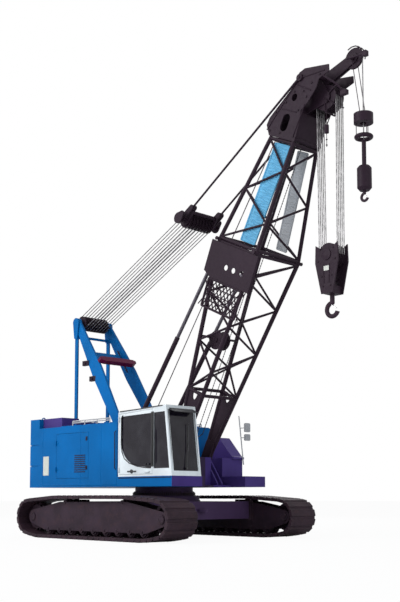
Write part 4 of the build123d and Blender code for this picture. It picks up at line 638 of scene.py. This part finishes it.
def main_fall_ropes(bm):
    for y in rows(5, 0.058):
        for side in (-1, 1):
            top = HEAD + Vector((side * rope_line(HEAD_SHEAVE), y, 0))
            low = BLOCK + Vector((side * rope_line(BLOCK_SHEAVE), y, 0))
            add_rope(bm, top, low, ROPE_R, step=0.025)


def aux_fall_rope(bm):
    x = TIP.x + rope_line(TIP_SHEAVE)
    add_rope(bm, (x, 0, TIP.z), (x, 0, TIP.z - AUX_DROP), ROPE_R, step=0.015)


def make_ropes():
    """Laid ropes in place of the plain ones that the CAD model holds."""
    piece("luffing_rope_parts", ("luffing_tackle", "bridle", GANTRY, BRIDLE), ROPE, "rope", luffing_ropes,
          replaced=["luffing_ropes"])
    piece("main_fall_rope_parts", ("main_fall", "hook_block", HEAD, BLOCK), ROPE, "rope", main_fall_ropes,
          replaced=["main_fall_ropes"])
    aux_low = TIP - Vector((0, 0, AUX_DROP))
    piece("aux_fall_rope_part", ("aux_fall", "aux_weight", TIP, aux_low), ROPE, "rope", aux_fall_rope,
          replaced=["aux_fall_ropes"])


# Boom


# Half depth and half width of the chord lines at the boom's foot, its splice and its head
FOOT_HALF = (0.06, 0.47)
SPLICE_HALF = (0.615, 0.69)
HEAD_HALF = (0.345, 0.385)


def half_sizes(s):
    """Half depth and half width of the boom's chord lines."""
    if s <= SPLICE_AT:
        low, high, share = FOOT_HALF, SPLICE_HALF, s / SPLICE_AT
    else:
        low, high, share = SPLICE_HALF, HEAD_HALF, (s - SPLICE_AT) / (HEAD_AT - SPLICE_AT)
    return tuple(a + (b - a) * share for a, b in zip(low, high))


def bar_on_boom(bm, first, second, radius, count=8):
    """Bar between two places given as s, y and t."""
    add_rod(bm, on_boom(*first), on_boom(*second), radius, count)


def boom_board(side, middle_low, middle_high, width):
    """Ribbed board that lies inside the lacing of one side face, from the splice to the head."""
    start, length = 5.34, 2.2
    ribs = 24

    def point(share, across):
        s = start + length * share
        t = middle_low + (middle_high - middle_low) * share + across * width / 2
        return s, side * (half_sizes(s)[1] - 0.048), t

    def make(bm):
        for across in (-1, 1):
            bar_on_boom(bm, point(0, across), point(1, across), 0.022)
        for i in range(ribs + 1):
            bar_on_boom(bm, point(i / ribs, -1), point(i / ribs, 1), 0.014, 6)
        for i in range(ribs):
            lean = 1 if i % 2 else -1
            bar_on_boom(bm, point(i / ribs, lean), point((i + 1) / ribs, -lean), 0.012, 6)
        low = [on_boom(*point(share, across)) for share, across in ((0, -1), (0, 1), (1, 1), (1, -1))]
        thick = Vector((0, side * -0.006, 0))
        add_rings(bm, [low, [p + thick for p in low]])
    return make


def mesh_guard(bm):
    """Open guard on the right face below the side panel."""
    s_low, s_high, reach = 3.66, 4.3, 0.56
    pitch, lean = 0.12, 0.2
    cross_bars = (3.82, 3.98, 4.14)

    def point(s, t):
        return s, -(0.52 + 0.0423 * s), t

    across = ((s_low, -reach), (s_low, reach)), ((s_high, -reach), (s_high, reach))
    along = ((s_low, -reach), (s_high, -reach)), ((s_low, reach), (s_high, reach))
    for a, b in across + along:
        bar_on_boom(bm, point(*a), point(*b), 0.028)
    for i in range(-4, 5):
        for way in (-1, 1):
            low, high = point(s_low, i * pitch - way * lean), point(s_high, i * pitch + way * lean)
            bar_on_boom(bm, low, high, 0.014, 6)
    for s in cross_bars:
        bar_on_boom(bm, point(s, -reach), point(s, reach), 0.014, 6)


def cable_reel(bm):
    """Signal-cable reel on a bar between the back chords."""
    s, t, y = 3.0, 0.14, -0.18
    depth, width = half_sizes(s)
    back = depth - 0.03
    bar_on_boom(bm, (s, -width, back), (s, width, back), 0.028)
    half_profile = [(0.13, 0.05), (0.13, 0.22), (0.11, 0.22), (0.1, 0.15)]
    profile = [(-along, radius) for along, radius in half_profile] + half_profile[::-1]
    add_lathe(bm, on_boom(s, y, t), (0, 1, 0), profile, 28)
    for offset in (-0.15, 0.14):
        matrix = Matrix.Translation(on_boom(s, y + offset, 0)) @ Matrix((
            (ALONG.x, BACK.x, 0, 0), (0, 0, 1, 0), (ALONG.z, BACK.z, 0, 0), (0, 0, 0, 1)))
        add_plate(bm, [(-0.05, t - 0.05), (0.05, t - 0.05), (0.05, back), (-0.05, back)], 0.012, matrix)


# Places, as s and t, of the bolts in the head's side faces
HEAD_BOLTS = ((7.75, 0.42), (7.75, -0.32), (7.75, 0.1), (8.15, 0.4), (8.4, 0.2), (8.65, 0.05),
              (8.9, -0.35), (8.6, -0.33), (8.3, -0.22), (9.1, -0.5), (9.0, -0.1), (8.7, -0.2))


def boom_pins(bm):
    """Splice pins with their heads, and bolts along the head's edges."""
    depth, width = half_sizes(SPLICE_AT)
    for across in (-1, 1):
        for back in (-1, 1):
            y, t = across * width, back * depth
            bar_on_boom(bm, (SPLICE_AT, y - 0.1, t), (SPLICE_AT, y + 0.1, t), 0.034, 14)
            for end in (-1, 1):
                bar_on_boom(bm, (SPLICE_AT, y + end * 0.1, t), (SPLICE_AT, y + end * 0.115, t), 0.045, 6)
    for s, t in HEAD_BOLTS:
        for across in (-1, 1):
            add_bolt(bm, on_boom(s, across * HEAD_FACE, t), (0, across, 0), 0.022, 0.02)


# Ends, as s and t, of the ribs on the head's side faces
HEAD_RIBS = (((7.75, 0.5), (8.9, 0.05)), ((7.75, -0.32), (8.45, -0.36)), ((8.95, 0.0), (9.2, -0.6)),
             ((8.25, -0.2), (8.25, 0.38)), ((8.75, -0.4), (8.8, 0.02)))


def head_fittings(bm):
    """Stiffening ribs, keeper bars over the sheaves, the lower switch arm and the arm at the tip."""
    for across in (-1, 1):
        y = across * (HEAD_FACE + 0.004)
        for (s0, t0), (s1, t1) in HEAD_RIBS:
            bar_on_boom(bm, (s0, y, t0), (s1, y, t1), 0.014, 6)
    keeper = 0.165
    for s, t in ((8.42, -0.74), (8.98, -0.78), (8.62, -0.9)):
        bar_on_boom(bm, (s, -keeper, t), (s, keeper, t), 0.02)
        for across in (-1, 1):
            bar_on_boom(bm, (s, across * keeper, t), (8.7, across * keeper, -0.6), 0.016, 6)
    elbow, switch = (8.98, -0.3, -0.98), (8.86, -0.22, -1.12)
    bar_on_boom(bm, (9.1, -0.42, -0.55), elbow, 0.022)
    bar_on_boom(bm, elbow, switch, 0.02)
    middle = on_boom(*switch)
    add_box(bm, middle - Vector((0.06, 0.05, 0.05)), middle + Vector((0.09, 0.05, 0.05)))
    arm = TIP + Vector((0.15, -0.16, -0.03))
    add_rod(bm, arm - Vector((0.22, 0, 0)), arm + Vector((0.22, 0, -0.04)), 0.022)
    add_box(bm, arm + Vector((0.2, -0.05, -0.1)), arm + Vector((0.29, 0.05, 0.01)))


def tip_line_guard(bm):
    """Two curved keepers round the tip sheave."""
    for y in (-0.05, 0.05):
        add_tube(bm, [TIP + Vector((0.245 * math.cos(a), y, 0.245 * math.sin(a)))
                      for a in (-0.3, 0.1, 0.5, 0.9, 1.3, 1.7, 2.1)], 0.012)


def limit_line(bm):
    """Switch line with a small weight beside the main ropes."""
    x, y, top, low = 5.285, -0.205, 9.3, 8.26
    add_rod(bm, (x, y, top), (x, y, low), 0.007, 8)
    add_lathe(bm, (x, y, 8.55), (0, 0, 1), [(0, 0.02), (0.01, 0.05), (0.18, 0.05), (0.19, 0.02)], 16)
    for z in (9.05, 8.9, 8.42, 8.3):
        add_lathe(bm, (x, y, z), (0, 0, 1), [(-0.02, 0.008), (0, 0.022), (0.02, 0.008)], 12)
    add_rod(bm, (x, y, top), (x - 0.05, -0.17, top + 0.03), 0.012, 8)


# Hoist ropes inside the lattice
HOIST_LOW = 0.75
HOIST_HIGH = 8.15
# X of the drum, Y, and t at the low and the high end of each rope
HOIST_LINES = ((DRUMS[0][0], 0.07, -0.02, -0.2), (DRUMS[1][0], -0.07, 0.02, -0.14))


def hoist_ropes(bm):
    """Hoist ropes that run up inside the lattice to the head's sheaves."""
    for _, y, low, high in HOIST_LINES:
        add_rope(bm, on_boom(HOIST_LOW, y, low), on_boom(HOIST_HIGH, y, high), ROPE_R, step=0.06)


def drum_ropes(bm):
    """Lengths between the drums and the boom's foot."""
    for x, y, t, _ in HOIST_LINES:
        add_rope(bm, Vector((x, y, DRUM_Z + 0.228)), on_boom(HOIST_LOW, y, t), ROPE_R, step=0.05)


GUIDE_START = Vector((-1.42, 0.0, 1.465))
GUIDE_END = on_boom(7.95, 0.0, 0.53)


def guide_rope(bm):
    """Auxiliary hoist rope behind the boom. It has points at its ends alone, so it stays straight."""
    add_rod(bm, GUIDE_START, GUIDE_END, 0.012, 10)


def guide_sheave(bm):
    """Guide sheave on its shaft at the back of the head."""
    place = on_boom(7.95, 0.0, 0.4)
    half_profile = [(0.03, 0.03), (0.03, 0.12), (0.012, 0.095)]
    profile = [(-along, radius) for along, radius in half_profile] + half_profile[::-1]
    add_lathe(bm, place, (0, 1, 0), profile, 28)
    add_rod(bm, place - Vector((0, 0.41, 0)), place + Vector((0, 0.41, 0)), 0.025, 12)


def rope_windings(bm):
    """Rope wound on each drum."""
    pitch = 0.0265
    for x, radius in DRUMS:
        for i in range(int(DRUM_HALF * 2 / pitch)):
            centre = Vector((x, -DRUM_HALF + pitch * (i + 0.5), DRUM_Z))
            ring = circle_ring(centre, Vector((1, 0, 0)), Vector((0, 0, 1)), radius + 0.0128, 24)
            add_tube(bm, ring, 0.0125, 6, closed=True)


# Cab and houses

WEIGHT_REAR = 3.45
WEIGHT_BULGE = 0.33


def house_trim(bm):
    """Roof covers, seams, sill strips and lifting eyes of the houses."""
    for side in (-1, 1):
        low, high = sorted((side * 0.95, side * 1.5))
        for x0, x1 in ((-2.2, -1.35), (-1.28, -0.55), (-0.48, 0.04)):
            add_box(bm, (x0, low, ROOF - 0.001), (x1, high, ROOF + 0.022))
        seam, sill = side * (HOUSE_SIDE + 0.0005), side * (HOUSE_SIDE + 0.001)
        for x in (-2.9, -1.32, -0.52, 0.07):
            add_box(bm, (x - 0.012, seam - 0.004, 1.26), (x + 0.012, seam + 0.004, 2.69))
        add_box(bm, (-3.04, sill - 0.006, 1.242), (0.09, sill + 0.006, 1.275))
        for x in (-2.0, -0.8):
            foot = Vector((x, side * 1.2, ROOF + 0.022))
            add_arch(bm, foot, Vector((0.05, 0, 0)), Vector((0, 0, 0.05)), 0.012)


def door_grille(side):
    """Louvres and two latches on one service door."""
    face = side * (HOUSE_SIDE + 0.001)
    latch = side * (HOUSE_SIDE + 0.002)

    def make(bm):
        for i in range(9):
            z = 1.56 + 0.05 * i
            add_box(bm, (-1.55, face - 0.009, z), (-1.12, face + 0.009, z + 0.022))
        for z in (1.62, 2.32):
            add_box(bm, (-1.1, latch - 0.012, z), (-1.04, latch + 0.012, z + 0.1))
            add_rod(bm, (-1.07, side * 1.542, z + 0.05), (-1.07, side * 1.574, z + 0.05), 0.018, 14)
    return make


def corner_handles(bm):
    """Grab handles at the houses' front corners."""
    for side in (-1, 1):
        route = ((1.552, 1.6), (1.59, 1.63), (1.59, 2.47), (1.552, 2.5))
        add_tube(bm, [(0.05, side * y, z) for y, z in route], 0.013)


def roof_rails(bm):
    """Low rail along the outer edge of each roof."""
    rear, front, top = -1.7, -0.25, 2.82
    for y in (-1.5, 1.5):
        for z in (2.775, top):
            add_rod(bm, (rear, y, z), (front, y, z), 0.014, 8)
        for x in (rear, -1.22, -0.73, front):
            add_rod(bm, (x, y, ROOF - 0.002), (x, y, top), 0.014, 8)


def exhaust(bm):
    """Exhaust pipe on the left house's roof."""
    profile = [(0, 0.12), (0.015, 0.12), (0.02, 0.09), (0.16, 0.09), (0.17, 0.075), (0.24, 0.075)]
    add_lathe(bm, (-1.95, 1.2, ROOF), (0, 0, 1), profile, 24)


def weight_back(y):
    """How far behind the slewing axis the counterweight's rounded back lies, less 20 mm."""
    return WEIGHT_REAR + WEIGHT_BULGE * (1 - (y / HOUSE_SIDE) ** 2) - 0.02


def weight_fittings(bm):
    """Lifting eyes and tie bolts of the counterweight."""
    for y in (-1.25, -0.45, 0.45, 1.25):
        add_arch(bm, Vector((-3.3, y, 2.935)), Vector((0, 0.06, 0)), Vector((0, 0, 0.07)), 0.016)
    for y in (-1.0, -0.3, 0.3, 1.0):
        back = -weight_back(y)
        for z in (1.5, 2.05, 2.55):
            add_rod(bm, (back + 0.05, y, z), (back - 0.004, y, z), 0.05, 20)
            add_bolt(bm, (back - 0.004, y, z), (-1, 0, 0), 0.028, 0.024)


def tail_lamps(bm):
    for y in (-1.2, 1.2):
        back = -weight_back(y)
        add_box(bm, (back - 0.03, y - 0.08, 1.26), (back + 0.06, y + 0.08, 1.34))


def blank_plate(bm):
    """Bare plate near the rear of the right house."""
    x0, x1, z0, z1 = -2.86, -2.62, 1.5, 1.98
    inset, face = 0.02, -HOUSE_SIDE - 0.006
    add_box(bm, (x0, face, z0), (x1, -HOUSE_SIDE + 0.001, z1))
    for x in (x0 + inset, x1 - inset):
        for z in (z0 + inset, z1 - inset):
            add_bolt(bm, (x, face, z), (0, -1, 0), 0.008, 0.006)


def door_gasket(bm):
    """Rubber seal round the door's window."""
    rim = ((0.30, 2.84), (0.245, 2.79), (0.24, 2.2), (0.27, 2.0), (0.36, 1.84), (0.52, 1.74), (0.8, 1.66),
           (1.1, 1.62), (1.285, 1.615))
    add_tube(bm, [(x, CAB_SIDE - 0.003, z) for x, z in rim], 0.011)


def post_cover(x0, x1):
    """Dark cover on the white post between the door's window and the fixed one."""
    def make(bm):
        top = 2.868 + (x0 - 1.29) * 0.04
        add_box(bm, (x0, CAB_SIDE - 0.007, 1.64), (x1, CAB_SIDE + 0.001, top))
    return make


def screen_seals(bm):
    """Seals down both sides of the windscreen."""
    for y in (-1.5, -0.71):
        add_rod(bm, (1.952, y, 1.56), (1.79, y, 2.9), 0.012, 8)


def cab_fittings(bm):
    """Rain gutter, wiper with its spindle, grab rail and two bolt heads."""
    gutter = ((0.2, -1.56, 2.935), (0.9, -1.56, 2.955), (1.6, -1.56, 2.985), (1.74, -1.52, 2.99))
    add_tube(bm, gutter, 0.012)
    add_rod(bm, (1.975, -1.1, 1.62), (1.9, -0.98, 2.25), 0.009, 8)
    add_rod(bm, (1.93, -1.02, 1.98), (1.86, -0.94, 2.6), 0.012, 6)
    add_rod(bm, (1.975, -1.1, 1.6), (1.995, -1.1, 1.6), 0.03, 12)
    rail = ((-1.552, 1.7), (-1.6, 1.73), (-1.6, 2.45), (-1.552, 2.48))
    add_tube(bm, [(1.36, y, z) for y, z in rail], 0.013)
    for x in (1.1, 1.2):
        add_rod(bm, (x, CAB_SIDE + 0.002, 1.7), (x, CAB_SIDE - 0.015, 1.7), 0.02, 16)


def door_grip(bm):
    """Handle of the cab door on its round base."""
    add_lathe(bm, (0.62, CAB_SIDE - 0.002, 1.545), (0, -1, 0), [(0, 0.05), (0.012, 0.05), (0.018, 0.03)], 20)
    add_box(bm, (0.48, CAB_SIDE - 0.022, 1.53), (0.78, CAB_SIDE - 0.001, 1.56))


def platform_rail(bm):
    """Edge bars of the walkways."""
    for x0, x1, y, z in ((0.15, 1.95, -1.553, 1.4), (0.15, 1.9, 1.503, 1.42)):
        add_rod(bm, (x0, y, z), (x1, y, z), 0.012, 8)


def hoses(bm):
    """Hydraulic hoses over the foot of the boom."""
    for i, y in enumerate((-0.28, -0.2, 0.2, 0.28)):
        lift = 0.05 * (i % 2)
        route = ((0.1, 1.26), (0.25, 1.5 + lift), (0.5, 1.56 + lift), (0.8, 1.45), (1.0, 1.3), (1.12, 1.255))
        add_tube(bm, [(x, y, z) for x, z in route], 0.018, 10)


# X, Z, Y of the outer face and radius of the pins at the feet of the boom, the gantry and the backstops
FOOT_PINS = ((FOOT.x, FOOT.z, 0.567, 0.075), (-0.42, 1.9, 0.731, 0.05), (-0.95, 1.95, 0.581, 0.05),
             (LINK_X, 1.85, 0.571, 0.045))


def foot_pins(bm):
    """Heads and keeper bolts of the pins at the feet of what leans or luffs."""
    for side in (-1, 1):
        for x, z, y, radius in FOOT_PINS:
            cap = side * (y + 0.02)
            add_rod(bm, (x, side * y, z), (x, cap, z), radius, 20)
            add_bolt(bm, (x + radius * 0.45, cap, z), (0, side, 0))
            add_bolt(bm, (x - radius * 0.45, cap, z), (0, side, 0))


def gantry_lugs(bm):
    """Small rope guides on the gantry's right leg, collars on the links and a brace inside each leg."""
    for x, z in ((-2.42, 4.42), (-2.12, 3.99)):
        add_box(bm, (x - 0.12, -0.6, z - 0.06), (x + 0.14, -0.52, z + 0.07))
        add_rod(bm, (x, -0.63, z), (x, -0.49, z), 0.035, 14)
    for y in (-0.525, 0.525):
        add_rod(bm, (LINK_X, y, 2.0), (LINK_X, y, 2.62), 0.058, 18)
    for y in (-0.46, 0.46):
        add_rod(bm, (-2.4, y, 4.86), (-1.98, y, 4.24), 0.018, 8)


# Hook blocks

# X and Z from the block's pin of the bolts in each cheek
CHEEK_BOLTS = ((-0.17, 0.12), (0.17, 0.12), (-0.22, -0.12), (0.22, -0.12), (-0.1, -0.66), (0.1, -0.66),
               (-0.13, -0.45), (0.13, -0.45))
CHEEK = 0.183
MAIN_HOOK_DROP = 1.1372
MAIN_THROAT = 0.095
AUX_HOOK_DROP = 1.1885
AUX_THROAT = 0.05


def block_fittings(bm):
    """Side ribs, pin covers and bolts of the hook block."""
    for side in (-1, 1):
        y = side * CHEEK
        cover = [(0, 0.12), (0.02, 0.12), (0.026, 0.08), (0.034, 0.05)]
        add_lathe(bm, (BLOCK.x, y, BLOCK.z), (0, side, 0), cover, 24)
        for dx, dz in CHEEK_BOLTS:
            add_bolt(bm, (BLOCK.x + dx, y, BLOCK.z + dz), (0, side, 0), 0.018, 0.016)
        for dx in (-0.08, 0.08):
            add_rod(bm, (BLOCK.x + dx, y, BLOCK.z - 0.2), (BLOCK.x + dx * 0.8, y, BLOCK.z - 0.6), 0.012, 6)
    for dz in (-0.3, -0.5):
        add_rod(bm, (BLOCK.x, -0.16, BLOCK.z + dz), (BLOCK.x, 0.16, BLOCK.z + dz), 0.025, 12)


def block_plate(bm):
    """Blank plate on the hook block's right cheek."""
    add_box(bm, (BLOCK.x - 0.07, -0.19, BLOCK.z - 0.34), (BLOCK.x + 0.07, -0.182, BLOCK.z - 0.24))


def hook_latch(centre, throat):
    """Safety latch across a hook's mouth, given by the middle of its bowl and the bowl's radius."""
    def make(bm):
        top = centre + Vector((-throat * 0.15, 0, throat * 1.05))
        low = centre + Vector((throat * 0.95, 0, throat * 0.28))
        for y in (-0.018, 0.018):
            add_rod(bm, top + Vector((0, y, 0)), low + Vector((0, y, 0)), throat * 0.07, 8)
        add_rod(bm, low + Vector((0, -0.03, 0)), low + Vector((0, 0.03, 0)), throat * 0.08, 10)
    return make


# Crawlers

WHEEL_X = 2.348
WHEEL_Z = 0.494
ROLLER_Z = 0.217
CARRIER_Z = 0.828
# Centre X, centre Z and radius of the circles that the tracks' pins run round, anticlockwise
TRACK_CIRCLES = ((-1.92, ROLLER_Z, 0.14), (1.92, ROLLER_Z, 0.14), (WHEEL_X, WHEEL_Z, 0.355),
                 (1.25, CARRIER_Z, 0.095), (-1.25, CARRIER_Z, 0.095), (-WHEEL_X, WHEEL_Z, 0.355))
SHOES = 58
ARC_POINTS = 24


def track_pins():
    """Evenly spaced pins as (x, z), from the rear of the ground run onwards."""
    pairs = list(zip(TRACK_CIRCLES, TRACK_CIRCLES[1:] + TRACK_CIRCLES[:1]))
    headings = []
    for (x0, z0, r0), (x1, z1, r1) in pairs:
        headings.append(math.atan2(z1 - z0, x1 - x0) - math.asin((r1 - r0) / math.hypot(x1 - x0, z1 - z0)))
    dense = []
    for i, ((x0, z0, r0), (x1, z1, r1)) in enumerate(pairs):
        heading = headings[i]
        turn = (headings[(i + 1) % len(pairs)] - heading) % (2 * math.pi)
        dense.append((x0 + r0 * math.sin(heading), z0 - r0 * math.cos(heading)))
        for k in range(ARC_POINTS):
            angle = heading + turn * k / (ARC_POINTS - 1)
            dense.append((x1 + r1 * math.sin(angle), z1 - r1 * math.cos(angle)))
    lengths = [math.dist(a, b) for a, b in zip(dense, dense[1:] + dense[:1])]
    step = sum(lengths) / SHOES
    pins = []
    travelled = 0.0
    for (a, b), length in zip(zip(dense, dense[1:] + dense[:1]), lengths):
        while len(pins) < SHOES and len(pins) * step <= travelled + length:
            share = (len(pins) * step - travelled) / length if length else 0.0
            pins.append((a[0] + (b[0] - a[0]) * share, a[1] + (b[1] - a[1]) * share))
        travelled += length
    return pins


def shoe_details(bm):
    """Hinge knuckles between the shoes, pin heads at their ends and four bolts in each shoe."""
    pins = track_pins()
    for side in (-1, 1):
        for (x0, z0), (x1, z1) in zip(pins, pins[1:] + pins[:1]):
            first, second = Vector((x0, side * TRACK_Y, z0)), Vector((x1, side * TRACK_Y, z1))
            along = (second - first).normalized()
            out = Vector((along.z, 0, -along.x))
            centre = first + out * 0.02
            for low, high in ((-0.42, -0.29), (-0.22, -0.1), (0.1, 0.22), (0.29, 0.42)):
                add_rod(bm, centre + Vector((0, low, 0)), centre + Vector((0, high, 0)), 0.024, 10)
            for end in (-1, 1):
                face = centre + Vector((0, end * 0.43, 0))
                add_rod(bm, face - Vector((0, end * 0.03, 0)), face + Vector((0, end * 0.008, 0)), 0.018, 10)
            middle = (first + second) / 2 + out * 0.077
            for y in (-0.3, 0.3):
                for shift in (-0.035, 0.035):
                    bolt = middle + along * shift + Vector((0, y, 0))
                    add_rod(bm, bolt - out * 0.004, bolt + out * 0.006, 0.014, 6)


def frame_bolts(bm):
    """Bolts and hub caps on the crawler frames."""
    hub_bolts = 8
    for side in (-1, 1):
        for face in (-1, 1):
            y = side * TRACK_Y + face * 0.232
            cap = y + face * 0.02
            for i in range(9):
                x = -1.72 + 0.43 * i
                add_rod(bm, (x, y, ROLLER_Z), (x, y + face * 0.012, ROLLER_Z), 0.03, 14)
            for x in (-1.05, 1.05):
                add_rod(bm, (x, y, CARRIER_Z), (x, y + face * 0.012, CARRIER_Z), 0.028, 14)
            for x in (-WHEEL_X, WHEEL_X):
                add_rod(bm, (x, y, WHEEL_Z), (x, cap, WHEEL_Z), 0.1, 22)
                for k in range(hub_bolts):
                    angle = 2 * math.pi * k / hub_bolts
                    place = (x + 0.072 * math.cos(angle), cap, WHEEL_Z + 0.072 * math.sin(angle))
                    add_bolt(bm, place, (0, face, 0), 0.011, 0.01)


def ring_bolts(bm):
    """Bolt circle and outer teeth of the slewing ring."""
    bolts, teeth = 40, 96
    for k in range(bolts):
        angle = 2 * math.pi * k / bolts
        add_bolt(bm, (0.71 * math.cos(angle), 0.71 * math.sin(angle), 1.085), (0, 0, 1), 0.014, 0.014)
    for k in range(teeth):
        angle = 2 * math.pi * k / teeth
        centre = Vector((0.742 * math.cos(angle), 0.742 * math.sin(angle), 0))
        matrix = Matrix.Translation(centre) @ Matrix.Rotation(angle, 4, "Z")
        add_box(bm, (-0.006, -0.014, 1.0), (0.018, 0.014, 1.07), matrix)


# All small pieces

# From the middle drum's top to the low end of the ropes in the lattice
DRUM_SPAN = ("upper", "boom", Vector((DRUMS[1][0], 0, 1.8)), on_boom(HOIST_LOW, 0, 0))
GUIDE_SPAN = ("upper", "boom", GUIDE_START, GUIDE_END)
MAIN_BOWL = BLOCK - Vector((0, 0, MAIN_HOOK_DROP))
AUX_BOWL = TIP + Vector((rope_line(TIP_SHEAVE), 0, -AUX_DROP - AUX_HOOK_DROP))

# Name, body, material, slot, function and bevel
DETAILS = (
    ("boom_reel", "boom", BLACK, "black_steel", cable_reel, 0.003),
    ("boom_pins", "boom", BLACK, "black_steel", boom_pins, 0),
    ("head_fittings", "boom", BLACK, "black_steel", head_fittings, 0.003),
    ("mesh_guard", "boom", BLACK, "black_steel", mesh_guard, 0),
    ("limit_line", "main_fall", BLACK, "black_steel", limit_line, 0),
    ("block_fittings", "hook_block", BLACK, "black_steel", block_fittings, 0),
    ("gantry_lugs", "upper", BLACK, "black_steel", gantry_lugs, 0.004),
    ("hoses", "upper", BLACK, "black_steel", hoses, 0),
    ("shoe_details", "undercarriage", CASTING, "track_steel", shoe_details, 0),
    ("frame_bolts", "undercarriage", CASTING, "track_steel", frame_bolts, 0),
    ("ring_bolts", "undercarriage", CASTING, "track_steel", ring_bolts, 0),
    ("board_right", "boom", LIGHT_BLUE, "blue_paint", boom_board(-1, -0.19, -0.03, 0.44), 0),
    ("board_left", "boom", PALE_GREY, "white_paint", boom_board(1, -0.06, -0.01, 0.3), 0),
    ("hoist_ropes", "boom", DARK_ROPE, "rope", hoist_ropes, 0),
    ("drum_ropes", DRUM_SPAN, DARK_ROPE, "rope", drum_ropes, 0),
    ("guide_rope", GUIDE_SPAN, DARK_ROPE, "rope", guide_rope, 0),
    ("guide_sheave", "boom", BLACK, "black_steel", guide_sheave, 0),
    ("rope_windings", "upper", DARK_ROPE, "rope", rope_windings, 0),
    ("house_trim", "upper", BLUE_PAINT, "blue_paint", house_trim, 0.004),
    ("weight_fittings", "upper", BLUE_PAINT, "blue_paint", weight_fittings, 0.004),
    ("latches", "upper", GREY_PAINT, "dark_grey_paint", corner_handles, 0.003),
    ("exhaust", "upper", GREY_PAINT, "dark_grey_paint", exhaust, 0),
    ("foot_pins", "upper", GREY_PAINT, "dark_grey_paint", foot_pins, 0),
    ("platform_rail", "upper", GREY_PAINT, "dark_grey_paint", platform_rail, 0),
    ("grille_right", "right_house_door", GREY_PAINT, "dark_grey_paint", door_grille(-1), 0.003),
    ("grille_left", "left_house_door", GREY_PAINT, "dark_grey_paint", door_grille(1), 0.003),
    ("roof_rails", "upper", PALE_GREY, "white_paint", roof_rails, 0),
    ("blank_plate", "upper", PALE_PLATE, "white_paint", blank_plate, 0.002),
    ("block_plate", "hook_block", PALE_PLATE, "white_paint", block_plate, 0.002),
    ("tail_lamps", "upper", RED_LENS, "plastic", tail_lamps, 0.008),
    ("cab_gasket", "cab_door", RUBBER, "plastic", door_gasket, 0),
    ("windscreen_seals", "upper", RUBBER, "plastic", screen_seals, 0),
    ("door_post_cover", "cab_door", RUBBER, "plastic", post_cover(1.288, DOOR_EDGE - 0.0005), 0),
    ("cab_post_cover", "upper", RUBBER, "plastic", post_cover(DOOR_EDGE + 0.0065, 1.372), 0),
    ("tip_keeper", "boom", BLACK, "black_steel", tip_line_guard, 0),
    ("cab_fittings", "upper", PLASTIC, "plastic", cab_fittings, 0),
    ("door_grip", "cab_door", PLASTIC, "plastic", door_grip, 0.006),
    ("main_hook_latch", "main_hook", BRIGHT, "bright_steel", hook_latch(MAIN_BOWL, MAIN_THROAT), 0),
    ("aux_hook_latch", "aux_hook", BRIGHT, "bright_steel", hook_latch(AUX_BOWL, AUX_THROAT), 0),
)


make_camera()
make_world()
make_floor()
make_lamps()
dress_nodes()
make_ropes()
for row in DETAILS:
    piece(*row)
